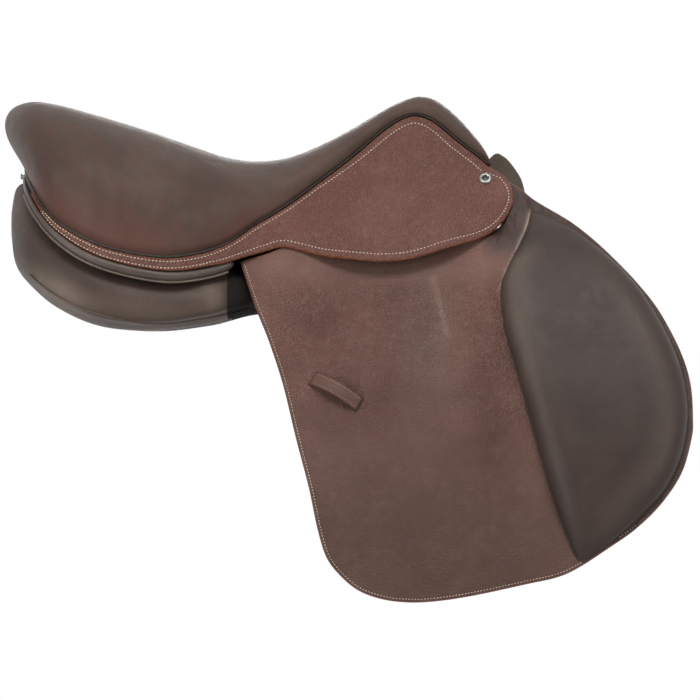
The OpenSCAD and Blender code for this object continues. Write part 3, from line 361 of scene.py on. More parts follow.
def tube(path, radius, sides=12, closed=False, taper=0):
    """Round tube along a path. With a taper, its radius shrinks to a rounded tip over so many points."""
    path = np.asarray(path, float)
    n = len(path)
    rings = []
    up = np.array([0.0, 0.0, 1.0])
    for i in range(n):
        a = path[(i + 1) % n] if closed else path[min(i + 1, n - 1)]
        b = path[i - 1] if closed else path[max(i - 1, 0)]
        along = unit(a - b)
        across = unit(np.cross(along, up))
        rise = np.cross(across, along)
        end = min(i, n - 1 - i)
        r = radius if np.isscalar(radius) else radius[i]
        r *= math.sqrt(1 - (1 - (end + 0.3) / (taper + 0.3)) ** 2) if end < taper else 1.0
        rings.append([path[i] + r * (math.cos(q) * across - math.sin(q) * rise) for q in circle(sides)])
    if not closed:
        return loft(rings)
    verts = np.array([p for r in rings for p in r])
    faces = grid_faces(n, sides, True)
    last = (n - 1) * sides
    faces += [(last + j, j, (j + 1) % sides, last + (j + 1) % sides) for j in range(sides)]
    return verts, faces


def stitches(points, normals, pitch=3.4, length=2.2, radius=0.4):
    """Row of thread stitches along a path that lies on a surface."""
    points, normals = np.asarray(points, float), np.asarray(normals, float)
    s = distances(points)
    at = lambda where, values: np.array([np.interp(where, s, values[:, k]) for k in range(3)])
    count = int(s[-1] // pitch)
    parts = []
    for i in range(count):
        mid = (i + 0.5) * s[-1] / count
        a, b = at(mid - length / 2, points), at(mid + length / 2, points)
        if np.linalg.norm(b - a) < 0.2:
            continue
        nrm = unit(at(mid, normals))
        across = unit(np.cross(nrm, unit(b - a)))
        rows = []
        for share, size, rise in STITCH:
            c = lerp(a, b, share) + nrm * (rise * radius - STITCH_SINK)
            rows.append([c + size * radius * (math.cos(q) * across + math.sin(q) * nrm) for q in circle(6)])
        parts.append(loft(rows))
    return joined(parts)


# Sheets cut to an outline

def edge_distance(p, loop):
    """Distance of points from a closed polyline."""
    a, b = loop, np.roll(loop, -1, axis=0)
    best = np.full(len(p), 1e9)
    d = b - a
    dd = np.maximum((d * d).sum(1), 1e-9)
    for i in range(0, len(p), 400):
        q = p[i:i + 400, None, :] - a[None]
        t = np.clip((q * d[None]).sum(2) / dd[None], 0, 1)
        e = q - t[..., None] * d[None]
        best[i:i + 400] = np.sqrt((e * e).sum(2).min(1))
    return best


def inside(p, loop):
    x, y = p[:, 0], p[:, 1]
    hit = np.zeros(len(p), bool)
    n = len(loop)
    for i in range(n):
        x1, y1 = loop[i]
        x2, y2 = loop[(i + 1) % n]
        if y1 == y2:
            continue
        cut = (y1 > y) != (y2 > y)
        hit ^= cut & (x < (x2 - x1) * (y - y1) / (y2 - y1) + x1)
    return hit


def inset(loop, d):
    """Loop moved inwards by d, one depth or one for each point; points too near another edge are left out."""
    loop = np.asarray(loop, float)
    d = np.broadcast_to(np.asarray(d, float), (len(loop),))
    area = 0.5 * np.sum(loop[:, 0] * np.roll(loop[:, 1], -1) - np.roll(loop[:, 0], -1) * loop[:, 1])
    t = np.roll(loop, -1, axis=0) - np.roll(loop, 1, axis=0)
    t /= np.maximum(np.linalg.norm(t, axis=1), 1e-9)[:, None]
    n = np.stack([-t[:, 1], t[:, 0]], axis=1) * (1 if area > 0 else -1)
    p = loop + d[:, None] * n
    keep = edge_distance(p, loop) > 0.94 * d - 0.12
    return p[keep & inside(p, loop)]


def cut_sheet(loop, rings, step, holes=(), extra=()):
    """Points and triangles of a flat sheet: rings follow its edges, a grid fills the rest."""
    loops = [np.asarray(loop, float)] + [np.asarray(h, float) for h in holes]
    points, edges, n = [], [], 0
    for l in loops:
        points.append(l)
        edges += [(n + i, n + (i + 1) % len(l)) for i in range(len(l))]
        n += len(l)
    free = [inset(loops[0], d) for d in rings]
    free += [np.asarray(e, float) for e in extra]
    low, high = loops[0].min(0), loops[0].max(0)
    gx, gy = np.meshgrid(np.arange(low[0], high[0], step), np.arange(low[1], high[1], step * 0.866))
    gx = gx + step / 2 * (np.arange(gx.shape[0]) % 2)[:, None]
    g = np.stack([gx.ravel(), gy.ravel()], axis=1)
    g = g[inside(g, loops[0])]
    g = g[edge_distance(g, loops[0]) > rings[-1] + 0.55 * step]
    for e in extra:
        near = np.min(np.linalg.norm(g[:, None, :] - np.asarray(e)[None], axis=2), axis=1)
        g = g[near > 0.6 * step]
    free.append(g)
    f = np.vstack([q for q in free if len(q)])
    for h in loops[1:]:
        f = f[~inside(f, h)]
        f = f[edge_distance(f, h) > 1.0]
    points.append(f)
    p = np.vstack(points)
    out = delaunay_2d_cdt([tuple(q) for q in p], edges, [], 0, 1e-5, False)
    q = np.array([tuple(v) for v in out[0]])
    tri = np.array([t for t in out[2] if len(t) == 3])
    mid = q[tri].mean(1)
    keep = inside(mid, loops[0])
    for h in loops[1:]:
        keep &= ~inside(mid, h)
    tri = tri[keep]
    a, b, c = q[tri[:, 0]], q[tri[:, 1]], q[tri[:, 2]]
    turn = (b[:, 0] - a[:, 0]) * (c[:, 1] - a[:, 1]) - (b[:, 1] - a[:, 1]) * (c[:, 0] - a[:, 0])
    tri[turn < 0] = tri[turn < 0][:, ::-1]
    d = edge_distance(q, loops[0])
    for h in loops[1:]:
        d = np.minimum(d, edge_distance(q, h))
    return q, tri, d


def shell(tri, d, top, bottom):
    """Closed sheet: the top and bottom points share their border, where the distance d is nil."""
    n = len(top)
    rim = d < 1e-4
    under = np.where(rim, np.arange(n), -1)
    extra = np.flatnonzero(~rim)
    under[extra] = n + np.arange(len(extra))
    verts = np.vstack([top, bottom[extra]])
    faces = [tuple(t) for t in tri] + [tuple(under[t][::-1]) for t in tri]
    faces = [f for f in faces if len(set(f)) == 3]
    lone = {tuple(sorted(t)) for t in tri if rim[t].all()}
    faces = [f for k, f in enumerate(faces) if k < len(tri) or tuple(sorted(f)) not in lone]
    return verts, faces, np.concatenate([d, d[extra]])


def rounded(d, half, reach):
    """How far a sheet's face falls back from its full height at distance d from a rounded edge."""
    return half * (1 - np.sqrt(np.clip(1 - (1 - np.clip(d / reach, 0, 1)) ** 2, 0, 1)))


# Materials

class Nodes:
    """Small helper round the node tree of a material or a world."""

    def __init__(self, owner, place="Object"):
        self.owner = owner
        owner.use_nodes = True
        self.tree = owner.node_tree
        self.bsdf = self.tree.nodes.get("Principled BSDF")
        self.place = self.add("ShaderNodeTexCoord").outputs[place]

    def add(self, kind, **values):
        node = self.tree.nodes.new(kind)
        for key, value in values.items():
            if hasattr(node, key):
                setattr(node, key, value)
            else:
                node.inputs[key.replace("_", " ")].default_value = value
        return node

    def link(self, a, b):
        self.tree.links.new(a, b)

    def put(self, value, socket):
        """Give a socket a number, a colour or a link."""
        if isinstance(value, (int, float)):
            socket.default_value = value
        elif isinstance(value, tuple):
            socket.default_value = (*value, 1.0)
        else:
            self.link(value, socket)

    def placed(self, kind, place=None, **values):
        """Outputs of a node that works on the place of a point."""
        n = self.add("ShaderNode" + kind, **values)
        self.link(place or self.place, n.inputs["Vector"])
        return n.outputs

    def noise(self, scale, detail=3.0, rough=0.55, distortion=0.0, place=None):
        values = {"Scale": scale, "Detail": detail, "Roughness": rough, "Distortion": distortion}
        return self.placed("TexNoise", place, **values)["Fac"]

    def stretched(self, scale, turn=(0, 0, 0)):
        return self.placed("Mapping", Scale=scale, Rotation=turn)["Vector"]

    def ramp(self, fac, low, high, a=0.0, b=1.0, kind="SMOOTHSTEP"):
        n = self.add("ShaderNodeMapRange", From_Min=low, From_Max=high, To_Min=a, To_Max=b)
        n.interpolation_type = kind
        self.link(fac, n.inputs["Value"])
        return n.outputs["Result"]

    def mix(self, fac, a, b):
        n = self.add("ShaderNodeMix", data_type="RGBA")
        for value, k in ((fac, 0), (a, 6), (b, 7)):
            self.put(value, n.inputs[k])
        return n.outputs[2]

    def math(self, op, a, b):
        n = self.add("ShaderNodeMath", operation=op)
        self.put(a, n.inputs[0])
        self.put(b, n.inputs[1])
        return n.outputs[0]

    def times(self, a, b):
        return self.math("MULTIPLY", a, b)

    def plus(self, a, b):
        return self.math("ADD", a, b)

    def most(self, a, b):
        return self.math("MAXIMUM", a, b)

    def attribute(self, name):
        return self.add("ShaderNodeAttribute", attribute_name=name).outputs["Fac"]

    def bump(self, height, distance, strength=1.0, after=None):
        n = self.add("ShaderNodeBump", Strength=strength, Distance=distance)
        self.link(height, n.inputs["Height"])
        if after is not None:
            self.link(after, n.inputs["Normal"])
        return n.outputs["Normal"]

    def finish(self, colour, rough, normal, **values):
        for key, value in {"Base Color": colour, "Roughness": rough, "Normal": normal, **values}.items():
            self.put(value, self.bsdf.inputs[key.replace("_", " ")])
        return self.owner


def leather(name, dark, base, warm, cell, grain, crease, rough, edge, mottle, fade=None, tints=(), beyond=(),
            neck=False, shine=0.26, relief=0.0004, pores=0.3):
    """Grained leather: mottled dye, pebbled cells with pores, uneven shine and, on a sheet, a rubbed edge.

    Cell is the size of a pebble in millimetres. Fade has two heights and the grain's share at the lower one.
    Tints are colours laid on where a mesh attribute says so; beyond lists places along the saddle, each with
    the colour and the added roughness in front of it.
    """
    n = Nodes(bpy.data.materials.new(name))
    large = n.noise(14.0, 4.0, 0.6, 0.4)
    middle = n.noise(70.0, 5.0, 0.62, 0.6)
    small = n.noise(420.0, 3.0, 0.6)
    colour = n.mix(n.ramp(large, 0.5 - 0.16 / mottle, 0.5 + 0.16 / mottle), dark, base)
    colour = n.mix(n.times(n.ramp(middle, 0.46, 0.72), 0.55 * mottle), colour, warm)
    deep = tuple(0.62 * c for c in dark)
    colour = n.mix(n.times(n.ramp(small, 0.55, 0.8), 0.35), colour, deep)
    bend = n.add("ShaderNodeVectorMath", operation="MULTIPLY_ADD")
    n.link(n.placed("TexNoise", Scale=300.0, Detail=2.0)["Color"], bend.inputs[0])
    bend.inputs[1].default_value = (0.0007, 0.0007, 0.0007)
    n.link(n.place, bend.inputs[2])
    values = {"feature": "DISTANCE_TO_EDGE", "Scale": 1000.0 / cell, "Randomness": 1.0}
    cells = n.placed("TexVoronoi", bend.outputs["Vector"], **values)["Distance"]
    amount = grain
    axes = n.placed("SeparateXYZ")
    if fade is not None:
        amount = n.ramp(axes["Z"], fade[0], fade[1], grain * fade[2], grain)
    if neck:
        plain = n.most(n.attribute("neck"), n.attribute("rim"))
        amount = n.times(amount, n.ramp(plain, 0.0, 1.0, 1.0, 0.15))
        amount = n.times(amount, n.ramp(axes["Z"], 0.030, 0.058, 1.0, 0.2))
    fine = n.noise(2300.0, 2.0, 0.6)
    height = n.plus(n.times(n.ramp(cells, 0.0, 0.34), amount), n.times(fine, 0.12))
    normal = n.bump(n.plus(height, n.times(small, 0.25)), relief, 0.8)
    normal = n.bump(n.noise(38.0, 3.0, 0.5, 1.2), 0.004 * crease, 0.6, normal)
    past = [n.ramp(axes["X"], x - 0.0004, x + 0.0004) for x, _, _ in beyond]
    for share, (_, tint, _) in zip(past, beyond):
        colour = n.mix(share, colour, tint)
    for key, tint, strength in tints:
        amount = n.times(n.attribute(key), n.ramp(middle, 0.25, 0.7, 0.75 * strength, strength))
        colour = n.mix(amount, colour, tint)
    valley = n.times(n.ramp(cells, 0.0, 0.14, 1.0, 0.0), pores)
    colour = n.mix(valley, colour, n.mix(0.6, colour, deep))
    if edge is not None:
        inwards = n.plus(n.attribute("edge"), n.ramp(middle, 0.2, 0.8, -0.8, 0.8))
        colour = n.mix(n.ramp(inwards, 0.2, 2.6, 0.85, 0.0), colour, edge)
    uneven = n.ramp(n.plus(n.times(middle, 0.6), n.times(small, 0.4)), 0.35, 0.65, *rough)
    for share, (_, _, more) in zip(past, beyond):
        uneven = n.plus(uneven, n.times(share, more))
    if neck:
        wrinkles = n.noise(60.0, 1.5, 0.4, 0.3, n.stretched((1.7, 1.0, 0.55), (0, 0.6, 0)))
        normal = n.bump(n.times(wrinkles, n.attribute("neck")), 0.005, 0.7, normal)
        uneven = n.math("SUBTRACT", uneven, n.times(n.attribute("neck"), 0.14))
    return n.finish(colour, uneven, normal, Specular_IOR_Level=shine)


def thread(name, colour, shade):
    n = Nodes(bpy.data.materials.new(name))
    twist = n.placed("TexWave", Scale=900.0, Distortion=1.5, Detail=1.0, bands_direction="DIAGONAL")["Fac"]
    c = n.mix(n.ramp(n.noise(160.0, 3.0), 0.35, 0.7), colour, shade)
    return n.finish(c, 0.75, n.bump(twist, 0.0002, 0.6))


def metal(name, colour, shade, rough):
    n = Nodes(bpy.data.materials.new(name))
    brush = n.noise(260.0, 2.0, 0.5, place=n.stretched((0.15, 2.0, 2.0)))
    marks = n.noise(1100.0, 4.0, 0.6)
    c = n.mix(n.ramp(n.noise(60.0, 4.0), 0.4, 0.75), colour, shade)
    uneven = n.ramp(brush, 0.3, 0.7, rough * 0.7, rough * 1.5)
    return n.finish(c, uneven, n.bump(marks, 0.0001, 0.25), Metallic=1.0)


def webbing(name, colour, shade):
    n = Nodes(bpy.data.materials.new(name))
    warp, weft = (n.placed("TexWave", Scale=scale, Distortion=0.4, Detail=1.0, bands_direction=axis)["Fac"]
                  for scale, axis in ((330.0, "X"), (260.0, "Z")))
    weave = n.most(warp, weft)
    c = n.mix(n.ramp(weave, 0.1, 0.8), shade, colour)
    c = n.mix(n.times(n.ramp(n.noise(25.0), 0.4, 0.7), 0.3), c, shade)
    return n.finish(c, 0.85, n.bump(weave, 0.0005, 0.7))


def wood(name, colour, shade):
    n = Nodes(bpy.data.materials.new(name))
    rings = n.noise(30.0, 5.0, 0.6, 1.0, n.stretched((0.25, 1.0, 3.0)))
    fine = n.noise(420.0, 3.0, 0.6, 0.0, n.stretched((0.1, 1.0, 1.0)))
    c = n.mix(n.ramp(rings, 0.35, 0.65), colour, shade)
    c = n.mix(n.times(fine, 0.35), c, shade)
    return n.finish(c, n.ramp(fine, 0.3, 0.7, 0.4, 0.6), n.bump(fine, 0.0003, 0.5))


SEAT = leather(
    "seat_calf", (0.070, 0.045, 0.035), (0.094, 0.062, 0.049), (0.104, 0.052, 0.040), 0.9, 0.14, 0.10,
    (0.44, 0.56), None, 1.3, tints=[("low", (0.135, 0.056, 0.043), 0.65)], shine=0.16)
SKIRT = leather(
    "skirt_grain", (0.150, 0.065, 0.052), (0.192, 0.090, 0.072), (0.202, 0.079, 0.062), 2.9, 0.8, 0.08,
    (0.40, 0.54), (0.200, 0.066, 0.034), 0.8, relief=0.0022, pores=0.5)
FLAP = leather(
    "flap_grain", (0.126, 0.062, 0.048), (0.184, 0.096, 0.074), (0.194, 0.080, 0.061), 3.3, 0.7, 0.2,
    (0.40, 0.54), (0.150, 0.068, 0.050), 0.9, (-0.16, 0.06, 0.25),
    [("low", (0.048, 0.026, 0.017), 0.85), ("red", (0.064, 0.024, 0.016), 0.85),
     ("olive", (0.110, 0.078, 0.062), 0.6), ("neck", (0.021, 0.012, 0.010), 0.95),
     # The pale tint is a painted highlight along the flap's raised edge by the knee block and along the fold
     # ridge.
     ("rim", (0.032, 0.023, 0.019), 0.95), ("pale", (0.420, 0.310, 0.250), 0.95)],
    neck=True, relief=0.0023, pores=0.65)
# The knee block's tint is a painted highlight along its rear and front borders.
BLOCK = leather(
    "block_calf", (0.036, 0.023, 0.019), (0.050, 0.033, 0.027), (0.052, 0.031, 0.024), 0.8, 0.10, 0.05,
    (0.40, 0.52), None, 0.8, tints=[("worn", (0.135, 0.104, 0.084), 0.8)], shine=0.24)
# The panels' tint is a painted sheen on their lower rear, their belly and just behind the flap.
PANELS = leather(
    "panel_calf", (0.058, 0.039, 0.031), (0.084, 0.058, 0.047), (0.088, 0.053, 0.042), 0.9, 0.12, 0.10,
    (0.42, 0.54), None, 1.0, tints=[("worn", (0.250, 0.195, 0.155), 0.8)], shine=0.18,
    # In front of x = -25 mm the panel is nearly black and rougher, a painted shadow of the flap; in front of
    # x = 150 mm it has the paler leather of its front.
    beyond=[(-0.025, (0.010, 0.008, 0.007), 0.4), (0.150, (0.098, 0.077, 0.059), 0.0)])
ROLL = leather(
    "roll_calf", (0.068, 0.049, 0.039), (0.099, 0.072, 0.058), (0.106, 0.067, 0.053), 0.9, 0.14, 0.10,
    (0.32, 0.44), None, 0.8, shine=0.40)
WELT = leather(
    "welt_leather", (0.026, 0.023, 0.019), (0.042, 0.037, 0.031), (0.046, 0.038, 0.031), 0.8, 0.12, 0.1,
    (0.38, 0.5), None, 0.7)
STRAP = leather(
    "strap_leather", (0.092, 0.044, 0.032), (0.124, 0.062, 0.047), (0.136, 0.060, 0.046), 1.2, 0.28, 0.1,
    (0.4, 0.54), None, 0.8)
INNER = leather(
    "inner_leather", (0.105, 0.058, 0.040), (0.150, 0.088, 0.064), (0.165, 0.088, 0.062), 1.2, 0.25, 0.2,
    (0.5, 0.65), None, 0.8)
THREAD = thread("thread_cream", (0.72, 0.63, 0.50), (0.55, 0.46, 0.35))
THREAD_DARK = thread("thread_brown", (0.24, 0.17, 0.12), (0.15, 0.10, 0.075))
THREAD_TAN = thread("thread_tan", (0.33, 0.25, 0.18), (0.23, 0.17, 0.12))
STEEL = metal("steel_polished", (0.72, 0.71, 0.68), (0.58, 0.57, 0.54), 0.22)
STEEL_AGED = metal("steel_aged", (0.33, 0.34, 0.30), (0.20, 0.21, 0.18), 0.3)
# Near-black steel for the studs' centres: painted shade of the stud's hollow.
STUD_HOLLOW_SHADE = metal("steel_painted_shade", (0.05, 0.05, 0.05), (0.03, 0.03, 0.03), 0.35)
WEB = webbing("web_linen", (0.52, 0.48, 0.40), (0.30, 0.27, 0.21))
WOOD = wood("laminate_beech", (0.50, 0.31, 0.15), (0.36, 0.20, 0.09))


# Pieces, and the fold lines across skirt and flap

FLAP_FOLD = side_axes((0.36, 0.795), BARREL, FOLD_LEAN)[::2]
SKIRT_FOLD = side_axes((0.33, 0.948), SKIRT_OUT, FOLD_LEAN)[::2]


def bend(obj, body, fold):
    """Work out the ends of a span across a fold line, unused, and bake the piece's transform; the piece is
    neither bent nor put on a body.
    """
    middle, rise = fold
    flip = np.array([1, 1 if body.endswith("right") else -1, 1])
    start, end = ((middle + reach * rise) * flip * MM for reach in (FOLD_HALF, -FOLD_HALF))
    tuple(start)
    tuple(end)
    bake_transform(obj)


def weld(obj, distance):
    bm = bmesh.new()
    bm.from_mesh(obj.data)
    bmesh.ops.remove_doubles(bm, verts=bm.verts, dist=distance * MM)
    bmesh.ops.recalc_face_normals(bm, faces=bm.faces)
    bm.to_mesh(obj.data)
    bm.free()
    obj.data.polygons.foreach_set("use_smooth", [True] * len(obj.data.polygons))


def piece(name, mesh, material, slot, body="tree", fold=None, nodes=(), fill=None, marks=None, close=None):
    """Piece that stands for some nodes and rides its body unless it has a fold; its padding and its slot are
    not used.

    Marks are mesh attributes for the material; points nearer than close are welded.
    """
    obj = make(name, *mesh, material, marks)
    if close:
        weld(obj, close)
    if nodes:
        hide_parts(*nodes)
    if fold:
        bend(obj, body, fold)
    else:
        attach(obj, body)


def pairs(slot, body, fold, *rows):
    """Right-hand pieces and their mirror images, from rows of name, mesh, material and more for the piece."""
    for side in SIDES:
        for name, mesh, material, more in rows:
            more = {**more, "nodes": [f"{node}_{side}" for node in more.get("nodes", ())]}
            carrier = body if body == "tree" else f"{body}_{side}"
            piece(f"{name}_{side}", sided(side, *mesh), material, slot, carrier, fold, **more)


# Seat

def seat_stations(rows):
    return [(i / rows) ** 1.3 for i in range(rows + 1)]


def half_grid(rows, cols, depth):
    g = np.array([[seat_point(t, j / cols, depth) for j in range(cols + 1)] for t in seat_stations(rows)])
    g[0, :, 1] = 0.0
    g[:, -1, 1] = 0.0
    return g.reshape(-1, 3)


def seat_cover():
    rows, cols = 132, 34
    outer, inner = half_grid(rows, cols, 0.0), half_grid(rows, cols, SEAT_LEATHER)
    n = len(outer)
    o = grid_faces(rows + 1, cols + 1)
    faces = list(o) + [tuple(n + i for i in reversed(f)) for f in o]
    w = cols + 1
    faces += [(i * w, n + i * w, n + (i + 1) * w, (i + 1) * w) for i in range(rows)]
    faces += [(rows * w + j, n + rows * w + j, n + rows * w + j + 1, rows * w + j + 1) for j in range(cols)]
    t, v = np.meshgrid(seat_stations(rows), np.linspace(0, 1, cols + 1), indexing="ij")
    low = smooth((0.20 - v) / 0.18) * smooth((t - 0.03) / 0.09) * smooth((0.56 - t) / 0.16)
    low *= 1 - 0.6 * np.exp(-((t - 0.36) / 0.05) ** 2)
    mesh = halves((np.vstack([outer, inner]), faces))
    piece("seat", mesh, SEAT, "seat_leather", nodes=("seat_cover", "seat_foam"), fill=0.7,
          marks={"low": np.tile(low.ravel(), 4)}, close=0.02)


def seat_welt():
    stations = np.linspace(0.992, 0.002, 170)
    right = [seam_point(t, WELT_DROP, 3.0 * curve_at(SEAM, t)[3] - 0.6) for t in stations]
    left = [p * [1, -1, 1] for p in reversed(right)]
    path = even(np.array(right + left), 2.6)
    piece("welt", tube(path, WELT_R, 12, taper=3), WELT, "welt_leather", nodes=("seat_welt",))
    section = ((-3.0, -3.2), (7.5, -3.2), (7.5, -4.0), (-3.0, -4.0))
    strip = loft([[seam_point(t, drop, out) for drop, out in section] for t in np.linspace(0.0, 1.0, 150)])
    piece("seam_backing", halves(strip), WELT, "welt_leather", close=0.001)


def cantle_roll():
    front = ROLL_END + 0.014
    tuck = lambda t: 3.5 * float(smooth((0.15 - t) / 0.08) * smooth((t - 0.02) / 0.04))
    stations = np.linspace(front, 0.008, 90)
    right = [np.append(seam_point(t, roll_drop_at(t), -roll_radius_at(t) / 2 - tuck(t)), roll_radius_at(t))
             for t in stations]
    left = [p * [1, -1, 1, 1] for p in reversed(right)]
    path = even(np.array(right + left), 3.0)
    roll = tube(path[:, :3], path[:, 3], 20, taper=2)
    piece("roll", roll, ROLL, "block_leather", nodes=("cantle_roll",), fill=0.9)
    stations = np.linspace(front - 0.008, 0.10, 120)
    foot = lambda t: roll_drop_at(t) + roll_radius_at(t)
    profile = ((-3.0, -2.0), (0.2, -1.6), (1.0, -0.5), (2.3, -0.5), (2.8, -1.2), (2.6, -2.2), (-3.0, -2.8))
    flange = loft([[seam_point(t, foot(t) + drop, out - tuck(t)) for drop, out in profile] for t in stations])
    row = np.array([seam_point(t, foot(t) + 1.6, -0.45 - tuck(t)) for t in stations])
    sewn = stitches(row, [-inward_at(t) for t in stations], radius=0.36, length=1.9, pitch=3.0)
    for name, mesh, mat in (("roll_flange", flange, ROLL), ("roll_stitches", sewn, THREAD_TAN)):
        piece(name, halves(mesh), mat, "block_leather", close=0.001)


def pommel_facing():
    """Strip that closes the front of the pommel, between the seat and the panels."""
    section = ((1.2, 0.4), (3.0, 1.6), (8.0, 2.2), (16.0, 1.6), (24.0, -0.5), (26.0, -2.5), (24.0, -4.0),
               (3.2, -2.0))
    right = np.array([[seat_point(1.0, j / 30, depth) + np.array([x, 0, 0]) for depth, x in section]
                      for j in range(31)])
    right[-1, :, 1] = 0
    left = right[::-1] * [1, -1, 1]
    both = np.concatenate([right, left[1:]])
    piece("pommel_facing", loft(list(both)), SEAT, "seat_leather", close=0.02)


# Skirts, each in one piece with the tail that runs back round the cantle. The tail is unrolled into the side
# view: behind JOIN, a place on the seam, it moves back by the length that the side view doesn't show

JOIN = 0.42
_ts = np.linspace(0.06, 0.47, 420)
_seam = np.array([seam_at(t) for t in _ts])
_step = np.diff(_seam, axis=0)
_extra = np.concatenate([[0], np.cumsum(np.linalg.norm(_step[:, :2], axis=1) - _step[:, 0])])
_extra = np.maximum(np.interp(JOIN, _ts, _extra) - _extra, 0.0)
_down = np.array([seam_down(t) for t in _ts])
_base = np.stack([_seam[:, 0] - _extra, _seam[:, 2]], axis=1)
# How far the seam stands off the flank where the tail meets the skirt
_hug_p = np.array([seam_at(t) for t in np.linspace(0.36, 0.56, 80)])
_hug_d = _hug_p[:, 1] - side_y(_hug_p[:, 2], SKIRT_OUT)


def unrolled(t, drop):
    p = below_seam(t, drop)
    return np.array([p[0] - float(np.interp(t, _ts, _extra)), p[1]])


def skirt_outline():
    """Outline of the unrolled skirt, and how far in its stitches run at each point of it."""
    low = lambda t: max(tail_foot(t), SKIRT_TOP_DROP + 1.5)
    band = lambda t: low(min(t, 0.372)) - SKIRT_TOP_DROP
    sewn = lambda t: max(0.30 * band(t), float(np.interp(t, (0.42, 0.62, 0.9), (0.0, 6.6, 8.2))))
    top = [(*unrolled(t, SKIRT_TOP_DROP), sewn(t)) for t in np.linspace(0.985, 0.104, 220)]
    foot = [(*unrolled(t, low(t)), 0.19 * band(t)) for t in np.linspace(0.108, 0.372, 70)]
    between = [[-31.5, 63.2], [-11.3, 68.6]]
    edge = curve(np.vstack([np.array(foot)[-8:-1:3, :2], between, flap_place(SKIRT_EDGE)]), 200)
    depth = np.interp(edge[:, 0], (-60, 20, 110, 190, 225, 240), (2.4, 5.4, 6.4, 6.0, 4.6, 4.4))
    keep = edge[:, 0] > foot[-1][0] + 1.0
    path = np.vstack([top, foot[:-1], np.column_stack([edge, depth])[keep]])
    path[:, 2] *= 0.001
    path = even(path, 2.2, closed=True)
    return path[:, :2], 1000 * path[:, 2]


def skirt_place(q):
    """Points in space and outward directions for points of the unrolled skirt."""
    x, z = q[:, 0], q[:, 1]
    shift = np.interp(x, _hug_p[:, 0], _hug_d)
    p = np.stack([x, side_y(z, SKIRT_OUT) + shift, z], axis=1)
    n = side_normals(z, SKIRT_OUT)
    for i in np.flatnonzero(x < 8.0):
        r = q[i] - _base
        g = r[:, 0] * _down[:, 1] - r[:, 1] * _down[:, 0]
        along = (r * _down).sum(1)
        cross = np.flatnonzero((g[:-1] * g[1:] <= 0) & (np.abs(along[:-1]) < 60))
        if not len(cross):
            continue
        k = cross[0]
        f = g[k] / (g[k] - g[k + 1]) if g[k] != g[k + 1] else 0.0
        t = lerp(_ts[k], _ts[k + 1], f)
        if t > 0.455:
            continue
        a = seam_at(t)
        sink = float(smooth((t - 0.22) / 0.18))
        y = a[1] + sink * float(side_y(z[i], SKIRT_OUT) - side_y(a[2], SKIRT_OUT))
        tail = np.array([x[i] + np.interp(t, _ts, _extra), y, z[i]])
        w = float(smooth((t - 0.36) / 0.09))
        p[i] = lerp(tail, p[i], w)
        n[i] = unit(lerp(-inward_at(t), n[i], max(w, 0.6 * sink)))
    return p, n


def skirt_rise(q):
    """How far the skirt's belly stands off the flap, over the stirrup bar."""
    along = smooth((q[:, 0] - 40) / 70) * smooth((228 - q[:, 0]) / 60)
    return SKIRT_BELLY * along * smooth((150 - q[:, 1]) / 65)


def stitch_runs(path, normals, gap, **thread):
    """Stitches along a path, broken where two of its points lie further apart than the gap."""
    steps = np.linalg.norm(np.diff(path, axis=0), axis=1)
    cuts = [0, *(np.flatnonzero(steps > gap) + 1), len(path)]
    return joined([stitches(path[i:j], normals[i:j], **thread) for i, j in zip(cuts, cuts[1:]) if j - i > 4])


def skirts():
    loop, depth = skirt_outline()
    rows = [0.35, 0.9, 1.8, 3.0, 4.6, 6.4, 8.4]
    row = inset(loop, depth)
    q, tri, d = cut_sheet(loop, rows, 6.0, extra=[row])
    p, n = skirt_place(q)
    swell = 0.5 * np.sin(q[:, 0] / 41.0 + 0.6) * np.cos(q[:, 1] / 27.0)
    swell *= smooth((d - 8) / 25)
    swell += skirt_rise(q)
    lift = -rounded(d, *SKIRT_ROUND) - 0.3 * np.exp(-(edge_distance(q, row) / 0.8) ** 2) + swell
    top = p + lift[:, None] * n
    bottom = p - (SKIRT_THICK - rounded(d, *SKIRT_ROUND) - swell)[:, None] * n
    verts, faces, edge = shell(tri, d, top, bottom)
    row = even(row, 1.2)
    path, normals = skirt_place(row)
    broad = ~((path[:, 0] < -150) & (path[:, 2] > 112))
    row, path, normals = row[broad], path[broad], normals[broad]
    path = path + normals * (skirt_rise(row) - 0.25)[:, None]
    sewn = stitch_runs(path, normals, 4.0, radius=0.5)
    nodes = ("skirt", "skirt_upper", "skirt_tail")
    pairs("skirt_leather", "skirt", SKIRT_FOLD,
          ("skirt_sheet", (verts, faces), SKIRT, {"nodes": nodes, "marks": {"edge": edge}}),
          ("skirt_stitches", sewn, THREAD, {}))


# Flaps

def on_flap(q, r):
    return np.stack([q[:, 0], side_y(q[:, 1], r), q[:, 1]], axis=-1)


def line_bump(q, a, b, width):
    """Ridge along a line, fading at its ends."""
    a, b = np.asarray(a, float), np.asarray(b, float)
    d = b - a
    t = ((q - a) @ d) / (d @ d)
    off = np.linalg.norm(q - a - np.clip(t, 0, 1)[:, None] * d, axis=1)
    return np.exp(-(off / width) ** 2)


# Places in the side view: middle of the stirrup bar, fold line down the flap, dee
BAR = flap_place((0.430, 0.946))
RIDGE = ((168.0, 50.0), (180.0, -4.0))
DEE = np.array([BAR[0] + 57.0, flap_place((0.0, 0.943))[1]])


